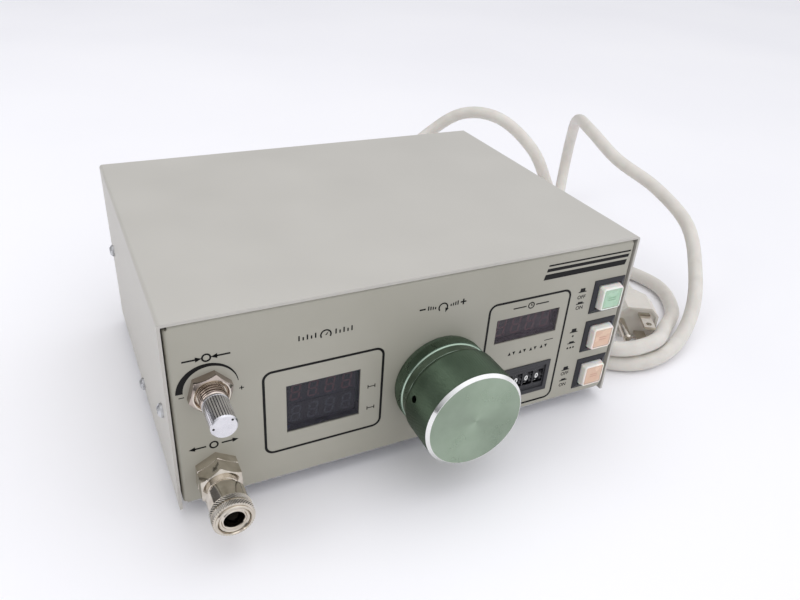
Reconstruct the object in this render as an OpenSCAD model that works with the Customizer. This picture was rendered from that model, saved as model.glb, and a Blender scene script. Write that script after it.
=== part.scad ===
// Bench-top pneumatic fluid dispenser: sheet-metal case with a regulator, a vacuum
// valve, an air-out coupler, two displays, a thumbwheel bank and three push buttons.
// Front of the case faces -Y. Height is measured from the soles of the feet.

/* [Case] */
// Width of the cover over its sides
case_w = 216; // [206:1:240]
// Depth of the cover from front edge to rear edge
case_d = 160; // [156:1:220]
// Height of the cover from its lower edge to its top
case_h = 88; // [86:1:110]
// Thickness of the cover sheet
cover_t = 1.2; // [0.8:0.1:1.6]
// Thickness of the front and rear panel sheet
panel_t = 1.2; // [1.2:0.1:2]
// Thickness of the base plate
base_t = 1.2; // [0.8:0.1:2]
// Inside radius of every bend in the sheets
bend_in = 0.4; // [0.3:0.1:1.5]
// How far the front panel sits inside the edges of the cover
panel_recess = 0.3; // [0.2:0.1:2]
// How far the rear panel sits inside the edges of the cover
rear_recess = 1; // [0.5:0.1:3]
// Shadow gap between the panels and the sides of the cover
panel_gap = 0.7; // [0.5:0.1:1]
// Depth of the flanges folded back from the panels
flange_d = 20; // [18:1:24]
// Height of the rubber feet below the cover's lower edge
foot_h = 5; // [4:0.5:10]
// Radius of a rubber foot at its sole
foot_r = 6.5; // [5.5:0.1:9]
// Radius of the shank of the case screws
screw_r = 1.5; // [1.2:0.1:1.5]

/* [Regulator] */
// Radius of the regulator knob
knob_r = 22.8; // [21:0.1:24]
// Reach of the knob's face in front of the cover's front edge
knob_reach = 32; // [31:0.5:45]
// Length of the knob
knob_len = 20; // [18:0.5:20]
// Chamfer round the knob's face
knob_chamfer = 1.3; // [0.5:0.1:2.5]
// Radius of the threaded neck that passes through the panel
neck_r = 12.5; // [11:0.1:12.5]
// Radius of the lock ring
lock_r = 22; // [21:0.1:23]
// Length of the lock ring
lock_len = 11.3; // [10:0.1:11.6]
// Radius of the regulator stem
stem_r = 4; // [3:0.1:5]

/* [Vacuum valve] */
// Width of the valve's nut across its flats
vac_nut_af = 15; // [13:0.5:16]
// Thickness of the valve's nut
vac_nut_t = 4.3; // [3:0.1:4.6]
// Radius of the valve's bush
vac_bush_r = 5.2; // [4.8:0.1:5.5]
// Radius of the valve's fluted knob
vac_knob_r = 5.1; // [4.5:0.1:6]
// Length of the valve's fluted knob
vac_knob_len = 13.5; // [9:0.5:14]

/* [Coupler] */
// Width of the coupler's own hexagon across its flats
coupler_af = 16; // [14:0.5:16]
// Radius of the coupler's bore, which takes the hose plug
coupler_bore_r = 3.9; // [3.2:0.1:4.2]
// Outside radius of the coupler's barrel, on which the sleeve slides
barrel_r = 6.1; // [5.8:0.1:6.4]
// Outside radius of the smooth part of the sleeve
sleeve_r = 7.9; // [7.7:0.1:8.2]
// Reach of the coupler in front of the cover's front edge
coupler_reach = 28.5; // [28:0.5:31]
// Travel of the sleeve when it is pulled back
sleeve_travel = 3.5; // [2:0.1:4]

/* [Displays] */
// Width of the pressure window
pressure_win_w = 31.9; // [28:0.1:36]
// Height of the pressure window
pressure_win_h = 23.8; // [20:0.1:26]
// Width of the time window
time_win_w = 34.1; // [28:0.1:35]
// Height of the time window
time_win_h = 12.9; // [11:0.1:14]

/* [Thumbwheels] */
// Distance from one thumbwheel to the next
wheel_pitch = 6; // [5:0.1:6.4]
// Radius of a thumbwheel over its teeth
wheel_r = 7.4; // [7:0.1:7.9]
// Radius of the shaft through the thumbwheels
wheel_shaft_r = 1.5; // [1:0.1:2]
// Width of the rim round the thumbwheels' windows
bank_rim = 2.5; // [2:0.1:3]
// Height of a thumbwheel's window
wheel_win_h = 7.6; // [7.6:0.1:8.6]

/* [Push buttons] */
// Side of a button bezel at the panel
bezel_w = 18; // [17.4:0.1:18.6]
// Distance from one button to the next
button_pitch = 22.3; // [21:0.1:22.8]
// How far a button bezel stands proud of the panel
bezel_proud = 1.1; // [0.8:0.1:2]
// Side of a button cap inside its bezel
cap_w = 12.2; // [10:0.1:12.5]
// How far a button cap stands proud of its bezel
cap_proud = 3; // [3:0.1:5]
// Travel of a button
button_travel = 3; // [1.5:0.1:3]

/* [Mains cord] */
// Radius of the mains cord
cord_r = 4.25; // [4.25:0.01:4.26]

/* [Hidden] */
$fn = 48;

// Clearances
sheet_gap = 0.2;
run_gap = 0.1;
slip_gap = 0.3;
hole_gap = 0.1;

// Sheet positions, measured from the cover's front lower edge
base_z = 0.5;
floor_z = base_z + base_t;
panel_front = panel_recess;
panel_back = panel_recess + panel_t;
rear_face = case_d - rear_recess;
rear_inner = rear_face - panel_t;
panel_half_w = case_w / 2 - cover_t - panel_gap;
panel_top = case_h - cover_t - sheet_gap;
panel_bend = bend_in + panel_t;
base_half_w = case_w / 2 - cover_t - sheet_gap;
base_setback = 0.6;
base_rim_h = 14;

// Rear reach and the place of the case, which centres the whole object on Y = 0
silencer_out = 21;
rear_reach = silencer_out - rear_recess;
front_y = -(case_d + rear_reach - knob_reach) / 2;

// Screws
screw_head_r = 2 * screw_r;
screw_head_h = 2;
screw_slot_w = 0.7;
screw_slot_depth = 1.1;
side_screw_len = cover_t + panel_gap + panel_t + 1;
base_screw_len = 8;
cover_screw_yz = [[15, 40], [82, 4.8], [case_d - 10, 44]];
base_screw_x = case_w / 2 - 48;
base_screw_y = 12;
foot_inset = 28;
foot_rib = 2.5;

// Regulator
reg_x = 7;
reg_z = 34.9;
knob_back = -knob_reach + knob_len;
lock_back = panel_front - run_gap;
lock_front = lock_back - lock_len;
neck_front = lock_front + 0.4;
knob_wall = 6;
knob_recess = 3.5;
knob_hub = 4;
knob_floor = 5;
set_screw_back = 5.5;
set_screw_sunk = 2.5;
set_screw_turn = -162;
lock_band = 6.2;
lock_teeth = 72;
lock_groove = 0.35;
lap = 1;
reg_body_r = 19;
reg_flange = 42;
reg_flange_t = 4;
reg_bonnet_end = 36;
reg_block_end = 66;
reg_block_w = 36;
reg_cap_r = 14.4;
reg_cap_len = 6;
reg_port_r = 5;
reg_screw_r = 16.2;
reg_port_y = (reg_bonnet_end + reg_block_end) / 2;
reg_port_x = reg_block_w / 2 + 7;

// Vacuum valve
vac_x = 15.9 - case_w / 2;
vac_z = 56.2;
vac_nut_front = panel_front - vac_nut_t;
vac_bush_front = vac_nut_front - 4.6;
vac_nut_dish = 0.9;
vac_knob_back = vac_bush_front - slip_gap;
vac_knob_front = vac_knob_back - vac_knob_len;
vac_knob_collar = 3.2;
vac_flutes = 36;
vac_flute_depth = 0.3;
vac_stem_r = 1.8;
vac_block_w = 16;
vac_block_end = 26;
vac_port_y = vac_block_end - 7;
vac_port_drop = vac_block_w / 2 + 6;

// Air-out coupler
air_x = 15.6 - case_w / 2;
air_z = 16;
coupler_nut_af = 16;
coupler_nut_turn = 2;
coupler_nut_front = panel_front - 4.3;
coupler_hex_front = coupler_nut_front - 6.5;
coupler_back_nut_t = 3;
coupler_front = -coupler_reach + 0.6;
sleeve_front = -coupler_reach;
sleeve_back = coupler_hex_front - sleeve_travel - slip_gap;
coupler_thread_r = 4.8;
coupler_inner_end = 13;
coupler_inner_r = 2;
poppet_r = coupler_bore_r - 0.6;
chamber_r = poppet_r + slip_gap;
coupler_bore_len = 9;
poppet_travel = 3;

// Displays
pressure_x = -46.7;
pressure_z = 37.3;
time_x = 51.5;
time_z = 51.5;
window_flange = 2.5;
window_flange_t = 1.6;
window_set = 0.4;
display_t = 7;
board_t = 1.6;
display_front = panel_back + window_flange_t + 0.4;
display_back = display_front + display_t;
post_r = 1.5;

// Thumbwheels
wheel_count = 4;
wheel_play = 0.3;
wheel_wall = 1;
wheel_w = wheel_pitch - wheel_wall - 2 * wheel_play;
wheel_teeth = 20;
wheel_tooth = 0.8;
number_band = 0.72;
number_drop = 0.7;
bank_x = 54.9;
bank_z = 19.8;
bank_lip = 0.6;
bank_row_w = wheel_count * wheel_pitch;
bay_w = wheel_w + 2 * wheel_play;
bay_h = 2 * (wheel_r + wheel_play);
bank_body_w = bank_row_w + 2 * (bank_rim - bank_lip);
bank_body_h = bay_h + 1.4;
bank_w = bank_body_w + 2 * bank_lip;
bank_h = bank_body_h + 2 * bank_lip;
bank_front = panel_front - 0.5;
plate_front = bank_front + 0.8;
plate_back = plate_front + 0.6;
wheel_y = plate_front - 0.1 + wheel_r;
bay_end = wheel_y + wheel_r + 0.4;
bank_end = bay_end + 2;

// Push buttons
button_x = case_w / 2 - 12.3;
button_z = [for (i = [0:2]) 59.25 - i * button_pitch];
housing_bore = cap_w + 2 * slip_gap;
housing_w = housing_bore + 1.9;
housing_end = 22;
housing_floor = 3;
bezel_front = panel_front - bezel_proud;
bezel_foot = 0.2;
bezel_rim_w = housing_bore + 0.8;
cap_front = bezel_front - cap_proud;
cap_bevel = 0.5;
cap_cut = 0.6;
cap_skirt = 8.6;
plunger_w = 5;
plunger_hole_w = 6;
contact_len = 13;
contact_pin = [0.8, 3];
contact_pin_len = 5;
contact_pin_step = 4;

// Things on the base plate and the rear panel
core_x = case_w / 2 - 36;
core_y = case_d - 48;
core_w = 50;
core_h = 42;
core_stack = 20;
core_limb = 8;
core_foot = 6;
core_foot_t = 1.5;
winding_out = 9;
main_x = -6;
main_w = case_w - 132;
main_d = case_d - 98;
main_y = case_d - 21 - main_d / 2;
main_z = 10;
main_corner = 4;
standoff_r = 2.8;
standoff_nut_h = 1.6;
can_r = main_w / 14;
can_h = 22;
chip = [main_w / 6, 8, 3.5];
header = [main_w / 7, 6, 8];
heat_sink = [main_w / 10.5, 22, 16];
port_r = 3.4;
port_len = 6;
side_port_len = 5;
valve_x = 20 - case_w / 2;
valve_w = 20;
valve_h = 16;
valve_half = 22.5;
valve_step = 13;
solenoid_w = 18;
solenoid_base_h = 10;
coil_h = 22;
solenoid_tag = [10, 6, 4];
gen_x = valve_x + 30;
gen_w = 14;
gen_half = 18;
gen_port_len = 2;
inlet_x = 22 - case_w / 2;
inlet_z = 36;
inlet_af = 14;
inlet_barrel_r = 6.4;
inlet_bore_r = 3.05;
inlet_bore_len = 6;
inlet_seat = 1.9;
inlet_seat_len = 5;
inlet_thread_r = 5;
inlet_inner = rear_inner - 12;
inlet_out = 12;
inlet_way_r = 1.8;
collar_travel = 0.8;
collar_r = 6;
collar_t = 1.2;
nut_t = 4;
silencer_x = gen_x;
silencer_z = 26;
silencer_af = 13;
silencer_hex_t = 5;
silencer_r = 5.5;
silencer_thread_r = 4.8;
silencer_inner = rear_inner - 7;
socket_x = -14;
socket_z = 46;
socket_thread_r = 7.8;
socket_bore_r = 6;
socket_depth = 5;
socket_len = 12;
socket_flange = 2;
socket_flange_t = 1.5;
socket_af = 19;
socket_nut_t = 2.5;
socket_pin = [5.2, 0.6];
socket_tag = [3.2, 0.9, 4];
fuse_x = case_w / 2 - 46;
fuse_z = 66;
fuse_thread_r = 6;
fuse_bore_r = 4.5;
fuse_len = 30;
fuse_floor = 4;
fuse_flange_t = 2;
fuse_af = 16;
fuse_cap_r = 7.5;
fuse_cap_len = 8;
fuse_plug_len = 20;
fuse_slot = [9, 1.6, 1.2];
cord_x = case_w / 2 - 26;
cord_z = 36;

// Air tubes inside the case
tube_r = 3;
tube_bend = 8;
tube_lead = 1;
tube_sides = 24;
tube_top = 70;
valve_y = reg_port_y + tube_bend + tube_lead + port_len + valve_half;
tube_rear = valve_y + valve_step + solenoid_w / 2 + tube_r + 2;

// Strain relief at the rear panel
relief_neck_r = 7;
relief_len = 32;
relief_flange_r = 10;
relief_flange_t = 3;
relief_nut = 1.5;
relief_wall = 0.8;

// Way of the cord from the strain relief to the plug, from the soles of the feet
cord_sides = 10;
cord_steps = 2;
low = cord_r + 0.2;
cord_way = [
  [82, 117, 41], [85, 142, 41], [105, 167, 45], [131, 177, 59], [154, 166, 77], [172, 142, 79],
  [186, 116, 63], [196, 104, 38], [213, 110, 13], [236, 136, 5], [254, 157, 22], [257, 159, 51],
  [244, 140, 73], [230, 108, 76], [228, 73, 66], [235, 39, 57], [237, 7, 43], [221, -22, 25],
  [198, -45, 13], [168, -61, 6], [139, -62, low], [118, -44, low], [113, -15, low], [121, 19, low],
  [145, 44, low], [178, 51, low], [206, 35, low], [217, 2, 5], [204, -26, 5], [180, -44, 8],
  [155, -59, 13], [130, -57, 13.5], [115, -35, 13.5], [113, -3, 13.5], [120, 29, 14], [138, 59, 14.5],
  [166, 68, 14.5], [189, 54, 13.5], [195, 23, 12], [186.5, 5, 10.5]
];
cord_rise = 6;
cord_exit = [cord_x, front_y + rear_face + relief_len, foot_h + cord_z];
cord_shift = [for (i = [0:2]) cord_exit[i] - cord_way[0][i]];
cord_points = [for (i = [0:len(cord_way) - 1])
  cord_way[i] + [cord_shift[0], cord_shift[1], cord_shift[2] * max(0, 1 - i / cord_rise)]];

// Plug
plug_turn = -29;
plug_len = 48;
plug_w = 24;
plug_h = 21;
plug_cut = 5;
plug_relief = 18;
plug_body_from = 31;
plug_recess = 1;
plug_rim = 1.5;
blade_w = 6.3;
blade_t = 1.5;
blade_len = 16;
blade_x = 3;
blade_z = 6.35;
blade_hole_r = 1.6;
blade_hole_in = 3.5;
earth_x = -8.9;
earth_r = 2.4;
earth_len = 19;

module at_case() {
  translate([0, front_y, foot_h]) children();
}

module rod_y(r, y0, y1, r_end = -1) {
  translate([0, y0, 0]) rotate([-90, 0, 0]) cylinder(r1 = r, r2 = r_end < 0 ? r : r_end, h = y1 - y0);
}

module ring_y(r_out, r_in, y0, y1) {
  difference() {
    rod_y(r_out, y0, y1);
    rod_y(r_in, y0 - 1, y1 + 1);
  }
}

module hex_y(af, y0, y1) {
  translate([0, y0, 0]) rotate([-90, 0, 0]) rotate([0, 0, 30])
    cylinder(r = af / sqrt(3), h = y1 - y0, $fn = 6);
}

module block(x, y0, y1, z0, z1, w) {
  translate([x - w / 2, y0, z0]) cube([w, y1 - y0, z1 - z0]);
}

module square_y(w, h, y0, y1) {
  translate([-w / 2, y0, -h / 2]) cube([w, y1 - y0, h]);
}

// Square or oblong bar along y with its four edges cut off
module cut_bar(w, h, cut, y0, y1) {
  x = w / 2;
  z = h / 2;
  right = [[x - cut, -z], [x, cut - z], [x, z - cut], [x - cut, z]];
  left = [[cut - x, z], [-x, z - cut], [-x, cut - z], [cut - x, -z]];
  translate([0, y0, 0]) rotate([90, 0, 0]) mirror([0, 0, 1]) linear_extrude(y1 - y0)
    polygon(concat(right, left));
}

module upright(size) {
  translate([-size[0] / 2, -size[1] / 2, 0]) cube(size);
}

function tooth_points(r, n, depth) =
  [for (i = [0:2 * n - 1]) let (a = i * 180 / n, q = i % 2 == 0 ? r : r - depth) [q * cos(a), q * sin(a)]];

module toothed_y(r, n, depth, y0, y1) {
  translate([0, y0, 0]) rotate([-90, 0, 0]) linear_extrude(y1 - y0) polygon(tooth_points(r, n, depth));
}

// Folded sheet in section, open towards +y, with its web on the x axis
module bend_u(half_w, depth, t) {
  r = bend_in + t;
  translate([-(half_w - r), 0]) square([2 * (half_w - r), t]);
  for (s = [-1, 1]) {
    translate([s > 0 ? half_w - t : -half_w, r]) square([t, depth - r]);
    intersection() {
      translate([s * (half_w - r), r]) difference() {
        circle(r);
        circle(bend_in);
      }
      translate([s > 0 ? half_w - r : -half_w, 0]) square([r, r]);
    }
  }
}

// Panel with flanges on all four sides and a relief notch at each corner
module panel_tray() {
  mid_z = (floor_z + panel_top) / 2;
  half_h = (panel_top - floor_z) / 2;
  corner_w = panel_bend * 0.8;
  corner_x = panel_half_w - panel_bend + corner_w / 2 - lap;
  corner_z = half_h - panel_bend + corner_w / 2 - lap;
  translate([0, 0, floor_z + panel_bend])
    linear_extrude(2 * half_h - 2 * panel_bend) bend_u(panel_half_w, flange_d, panel_t);
  translate([0, 0, mid_z]) rotate([0, -90, 0])
    linear_extrude(2 * (panel_half_w - panel_bend), center = true) bend_u(half_h, flange_d, panel_t);
  for (x = [-1, 1], z = [-1, 1])
    translate([x * corner_x, 0, mid_z + z * corner_z]) square_y(corner_w, corner_w, 0, panel_t);
}

module side_holes(r) {
  for (p = cover_screw_yz) translate([0, p[0], p[1]]) rotate([0, 90, 0])
    cylinder(r = r, h = case_w + 2, center = true);
}

module base_holes(r) {
  for (x = [-base_screw_x, base_screw_x], y = [base_screw_y, case_d - base_screw_y])
    translate([x, y, -foot_h]) cylinder(r = r, h = foot_h + floor_z + panel_t + 2);
}

module foot_places() {
  for (x = [-1, 1], y = [foot_inset, case_d - foot_inset])
    translate([x * (case_w / 2 - foot_inset), y, 0]) children();
}

module pan_screw(len) {
  difference() {
    union() {
      cylinder(r = screw_head_r, h = screw_head_h * 0.5);
      translate([0, 0, screw_head_h * 0.5])
        cylinder(r1 = screw_head_r, r2 = screw_head_r * 0.62, h = screw_head_h * 0.5);
      translate([0, 0, -len]) cylinder(r = screw_r, h = len);
    }
    for (a = [0, 90]) rotate([0, 0, a]) translate([0, 0, screw_head_h - screw_slot_depth])
      upright([screw_head_r * 1.1, screw_slot_w, screw_head_h]);
  }
}

// Case
module cover() {
  color([0.76, 0.75, 0.72]) at_case() difference() {
    translate([0, 0, case_h]) rotate([-90, 0, 0]) linear_extrude(case_d) bend_u(case_w / 2, case_h, cover_t);
    side_holes(screw_r + hole_gap);
  }
}

module front_panel() {
  color([0.65, 0.63, 0.58]) at_case() difference() {
    translate([0, panel_front, 0]) panel_tray();
    translate([reg_x, 0, reg_z]) rod_y(neck_r + hole_gap, 0, panel_back + 1);
    for (a = [45:90:315]) translate([reg_x, 0, reg_z]) rotate([0, a, 0]) translate([reg_screw_r, 0, 0])
      rod_y(screw_r + hole_gap, 0, panel_back + 1);
    translate([vac_x, 0, vac_z]) rod_y(vac_bush_r + hole_gap, 0, panel_back + 1);
    translate([air_x, 0, air_z]) rod_y(coupler_thread_r + hole_gap, 0, panel_back + 1);
    translate([pressure_x, 0, pressure_z]) square_y(pressure_win_w, pressure_win_h, 0, panel_back + 1);
    translate([time_x, 0, time_z]) square_y(time_win_w, time_win_h, 0, panel_back + 1);
    translate([bank_x, 0, bank_z])
      square_y(bank_body_w + 2 * hole_gap, bank_body_h + 2 * hole_gap, 0, panel_back + 1);
    for (z = button_z) translate([button_x, 0, z])
      square_y(housing_w + 2 * hole_gap, housing_w + 2 * hole_gap, 0, panel_back + 1);
    side_holes(screw_r + hole_gap);
    base_holes(screw_r + hole_gap);
  }
}

module rear_panel() {
  color([0.65, 0.63, 0.58]) at_case() difference() {
    translate([0, rear_face, 0]) mirror([0, 1, 0]) panel_tray();
    translate([cord_x, 0, cord_z]) rod_y(relief_neck_r + hole_gap, rear_inner - 1, case_d);
    translate([inlet_x, 0, inlet_z]) rod_y(inlet_thread_r + hole_gap, rear_inner - 1, case_d);
    translate([silencer_x, 0, silencer_z]) rod_y(silencer_thread_r + hole_gap, rear_inner - 1, case_d);
    translate([socket_x, 0, socket_z]) rod_y(socket_thread_r + hole_gap, rear_inner - 1, case_d);
    translate([fuse_x, 0, fuse_z]) rod_y(fuse_thread_r + hole_gap, rear_inner - 1, case_d);
    side_holes(screw_r + hole_gap);
    base_holes(screw_r + hole_gap);
  }
}

module base_plate() {
  plate_y0 = panel_back + base_setback;
  color([0.70, 0.69, 0.66]) at_case() difference() {
    union() {
      translate([0, flange_d + 2, base_z]) mirror([0, 1, 0]) rotate([90, 0, 0])
        linear_extrude(case_d - 2 * flange_d - 4) bend_u(base_half_w, base_rim_h, base_t);
      block(0, plate_y0, case_d - plate_y0, base_z, floor_z, 2 * (panel_half_w - panel_bend));
    }
    side_holes(screw_r + hole_gap);
    base_holes(screw_r + hole_gap);
    foot_places() cylinder(r = screw_r + hole_gap, h = 20, center = true);
  }
}

module feet() {
  color([0.12, 0.12, 0.12]) at_case() foot_places() difference() {
    translate([0, 0, -foot_h]) cylinder(r1 = foot_r - 0.5, r2 = foot_r, h = foot_h + base_z);
    translate([0, 0, -foot_h - 1]) cylinder(r = screw_head_r + 0.6, h = foot_h + 1 + base_z - foot_rib);
    cylinder(r = screw_r + hole_gap, h = 40, center = true);
  }
}

module cover_screws() {
  color([0.75, 0.75, 0.76]) at_case() for (s = [-1, 1], p = cover_screw_yz)
    translate([s * case_w / 2, p[0], p[1]]) rotate([0, s * 90, 0]) pan_screw(side_screw_len);
}

module base_screws() {
  color([0.75, 0.75, 0.76]) at_case() {
    for (x = [-base_screw_x, base_screw_x], y = [base_screw_y, case_d - base_screw_y])
      translate([x, y, base_z]) rotate([180, 0, 0]) pan_screw(base_screw_len);
    foot_places() translate([0, 0, base_z - foot_rib]) rotate([180, 0, 0]) pan_screw(base_screw_len);
  }
}

// Regulator
module regulator_knob() {
  color([0.42, 0.53, 0.42]) at_case() translate([reg_x, 0, reg_z]) difference() {
    union() {
      rod_y(knob_r - knob_chamfer, -knob_reach, -knob_reach + knob_chamfer, knob_r);
      rod_y(knob_r, -knob_reach + knob_chamfer, knob_back - 0.5);
      rod_y(knob_r, knob_back - 0.5, knob_back, knob_r - 0.5);
    }
    difference() {
      rod_y(knob_r - knob_wall, knob_back - knob_recess, knob_back + 1);
      rod_y(stem_r + knob_hub, -knob_reach, knob_back - 1);
    }
    rod_y(stem_r + run_gap / 2, knob_floor - knob_reach, knob_back + 1);
    rotate([0, set_screw_turn, 0]) translate([stem_r, knob_back - set_screw_back, 0]) rotate([0, 90, 0])
      cylinder(r = screw_r + hole_gap, h = knob_r);
  }
}

module knob_set_screw() {
  color([0.15, 0.15, 0.16]) at_case() translate([reg_x, 0, reg_z]) rotate([0, set_screw_turn, 0])
    translate([stem_r + run_gap / 2, knob_back - set_screw_back, 0]) rotate([0, 90, 0]) difference() {
      cylinder(r = screw_r, h = knob_r - stem_r - set_screw_sunk);
      translate([0, 0, knob_r - stem_r - set_screw_sunk - 2]) cylinder(r = screw_r * 0.55, h = 3, $fn = 6);
    }
}

module regulator_stem() {
  color([0.70, 0.70, 0.68]) at_case() translate([reg_x, 0, reg_z])
    rod_y(stem_r, knob_floor + 0.2 - knob_reach, reg_bonnet_end - 20);
}

module lock_ring() {
  color([0.40, 0.52, 0.42]) at_case() translate([reg_x, 0, reg_z]) difference() {
    union() {
      toothed_y(lock_r, lock_teeth, lock_groove, lock_back - lock_band, lock_back - 2);
      rod_y(lock_r - 0.6, lock_back - 2.5, lock_back);
      rod_y(lock_r - 0.5, lock_front + 0.8, lock_back - lock_band + 0.5);
      rod_y(lock_r - 1.3, lock_front, lock_front + 0.8, lock_r - 0.5);
    }
    rod_y(neck_r + run_gap, lock_front - 1, lock_back + 1);
    rod_y(reg_screw_r + screw_head_r + slip_gap, lock_back - screw_head_h - slip_gap, lock_back + 1);
  }
}

module regulator_body() {
  color([0.72, 0.72, 0.72]) at_case() translate([reg_x, 0, reg_z]) difference() {
    union() {
      rod_y(neck_r, neck_front, panel_back + lap);
      square_y(reg_flange, reg_flange, panel_back, panel_back + reg_flange_t);
      rod_y(reg_body_r, panel_back + reg_flange_t - lap, reg_bonnet_end + lap);
      square_y(reg_block_w, reg_block_w, reg_bonnet_end, reg_block_end);
      rod_y(reg_cap_r, reg_block_end - lap, reg_block_end + reg_cap_len);
      translate([0, reg_port_y, 0]) rotate([0, 90, 0])
        cylinder(r = reg_port_r, h = 2 * reg_port_x, center = true);
    }
    rod_y(stem_r + run_gap, neck_front - 1, reg_bonnet_end - 19);
    for (a = [45:90:315]) rotate([0, a, 0]) translate([reg_screw_r, 0, 0])
      rod_y(screw_r + hole_gap / 2, panel_back - 1, panel_back + reg_flange_t + 3);
  }
}

module regulator_screws() {
  color([0.75, 0.75, 0.76]) at_case() translate([reg_x, panel_front, reg_z])
    for (a = [45:90:315]) rotate([0, a, 0]) translate([reg_screw_r, 0, 0]) rotate([90, 0, 0])
      pan_screw(panel_t + reg_flange_t + 1);
}

// Vacuum valve
module vacuum_knob() {
  color([0.80, 0.80, 0.82]) at_case() translate([vac_x, 0, vac_z]) difference() {
    union() {
      toothed_y(vac_knob_r - 0.1, vac_flutes, vac_flute_depth, vac_knob_front + 0.6,
        vac_knob_back - vac_knob_collar + lap);
      rod_y(vac_knob_r - 0.6, vac_knob_front, vac_knob_front + 0.6, vac_knob_r - 0.15);
      rod_y(vac_knob_r, vac_knob_back - vac_knob_collar, vac_knob_back - 0.5);
      rod_y(vac_knob_r, vac_knob_back - 0.5, vac_knob_back, vac_knob_r - 0.5);
    }
    rod_y(vac_stem_r + hole_gap / 2, vac_knob_front + 3, vac_knob_back + 1);
  }
}

module vacuum_stem() {
  color([0.72, 0.70, 0.62]) at_case() translate([vac_x, 0, vac_z]) {
    rod_y(vac_stem_r, vac_knob_front + 3.2, vac_block_end - 12);
    rod_y(vac_stem_r, vac_block_end - 12, vac_block_end - 8, 0.3);
  }
}

module vacuum_nut() {
  color([0.78, 0.77, 0.74]) at_case() translate([vac_x, 0, vac_z]) difference() {
    intersection() {
      hex_y(vac_nut_af, vac_nut_front, panel_front);
      union() {
        rod_y(vac_nut_af * 0.47, vac_nut_front, vac_nut_front + 1.2, vac_nut_af * 0.58);
        rod_y(vac_nut_af * 0.6, vac_nut_front + 1.2, panel_front);
      }
    }
    rod_y(vac_bush_r + run_gap / 2, vac_nut_front - 1, panel_front + 1);
    rod_y(vac_nut_af * 0.44, vac_nut_front - 0.01, vac_nut_front + vac_nut_dish, vac_bush_r + 0.3);
  }
}

module vacuum_valve_body() {
  color([0.76, 0.74, 0.68]) at_case() translate([vac_x, 0, vac_z]) difference() {
    union() {
      rod_y(vac_bush_r - 0.5, vac_bush_front, vac_bush_front + 0.5, vac_bush_r);
      rod_y(vac_bush_r, vac_bush_front + 0.5, panel_back + lap);
      square_y(vac_block_w, vac_block_w, panel_back, vac_block_end);
      rod_y(port_r, vac_block_end - lap, vac_block_end + port_len);
      translate([0, vac_port_y, -vac_port_drop]) cylinder(r = port_r, h = port_len + lap);
    }
    rod_y(vac_stem_r + run_gap, vac_bush_front - 1, vac_block_end - 7);
    ring_y(vac_bush_r + 1, vac_bush_r - 0.4, vac_bush_front + 1.5, vac_bush_front + 2);
  }
}

// Air-out coupler
module coupler_nut() {
  color([0.78, 0.76, 0.72]) at_case() translate([air_x, 0, air_z]) difference() {
    rotate([0, coupler_nut_turn, 0]) hex_y(coupler_nut_af, coupler_nut_front, panel_front);
    rod_y(coupler_thread_r + run_gap / 2, coupler_nut_front - 1, panel_front + 1);
  }
}

module coupler_body() {
  color([0.80, 0.78, 0.74]) at_case() translate([air_x, 0, air_z]) difference() {
    union() {
      rod_y(coupler_thread_r, coupler_nut_front - lap, coupler_inner_end);
      hex_y(coupler_af - 2, panel_back, panel_back + coupler_back_nut_t);
      hex_y(coupler_af, coupler_hex_front + 0.4, coupler_nut_front);
      rod_y(coupler_af / 2 - 0.4, coupler_hex_front, coupler_hex_front + lap);
      rod_y(barrel_r, coupler_front + 0.4, coupler_hex_front + lap);
      rod_y(barrel_r - 0.4, coupler_front, coupler_front + 0.4, barrel_r);
    }
    rod_y(coupler_bore_r + 0.5, coupler_front - 0.01, coupler_front + 0.5, coupler_bore_r);
    rod_y(coupler_bore_r, coupler_front - 1, coupler_front + coupler_bore_len);
    rod_y(chamber_r, coupler_front, coupler_hex_front - 1);
    rod_y(coupler_inner_r, coupler_front, coupler_inner_end + 1);
  }
}

module coupler_sleeve() {
  band = (sleeve_back - sleeve_front - 1) / 6;
  color([0.80, 0.78, 0.74]) at_case() translate([air_x, 0, air_z]) difference() {
    union() {
      rod_y(sleeve_r - 0.5, sleeve_front, sleeve_front + 0.5, sleeve_r);
      rod_y(sleeve_r - 0.2, sleeve_front + 0.5, sleeve_back - 0.8);
      rod_y(sleeve_r - 0.2, sleeve_back - 0.8, sleeve_back, sleeve_r - 1);
      for (i = [0, 1.35])
        toothed_y(sleeve_r + 0.4, 48, 0.35, sleeve_front + 1 + i * band, sleeve_front + 1 + (i + 1) * band);
    }
    rod_y(barrel_r + 1, sleeve_front - 0.01, sleeve_front + 0.8, barrel_r + run_gap);
    rod_y(barrel_r + run_gap, sleeve_front - 1, sleeve_back + 1);
  }
}

module coupler_poppet() {
  back = coupler_hex_front - 1.4 - poppet_travel;
  color([0.30, 0.28, 0.24]) at_case() translate([air_x, 0, air_z]) {
    rod_y(poppet_r - 0.5, back - 3.5, back - 3, poppet_r);
    rod_y(poppet_r, back - 3, back);
    rod_y(coupler_inner_r - slip_gap, back - lap, back + 6);
  }
}

// Displays
module window_plate(w, h) {
  square_y(w - 2 * hole_gap, h - 2 * hole_gap, panel_front + window_set, panel_back + lap);
  square_y(w + 2 * window_flange, h + 2 * window_flange, panel_back, panel_back + window_flange_t);
}

module display_board(w, h) {
  square_y(w, h, display_back, display_back + board_t);
  for (x = [-1, 1], z = [-1, 1]) translate([x * (w / 2 - post_r), 0, z * (h / 2 - post_r)])
    rod_y(post_r, panel_back, display_back + lap);
}

module pressure_window() {
  color([0.16, 0.12, 0.20, 0.85]) at_case() translate([pressure_x, 0, pressure_z])
    window_plate(pressure_win_w, pressure_win_h);
}

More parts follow.
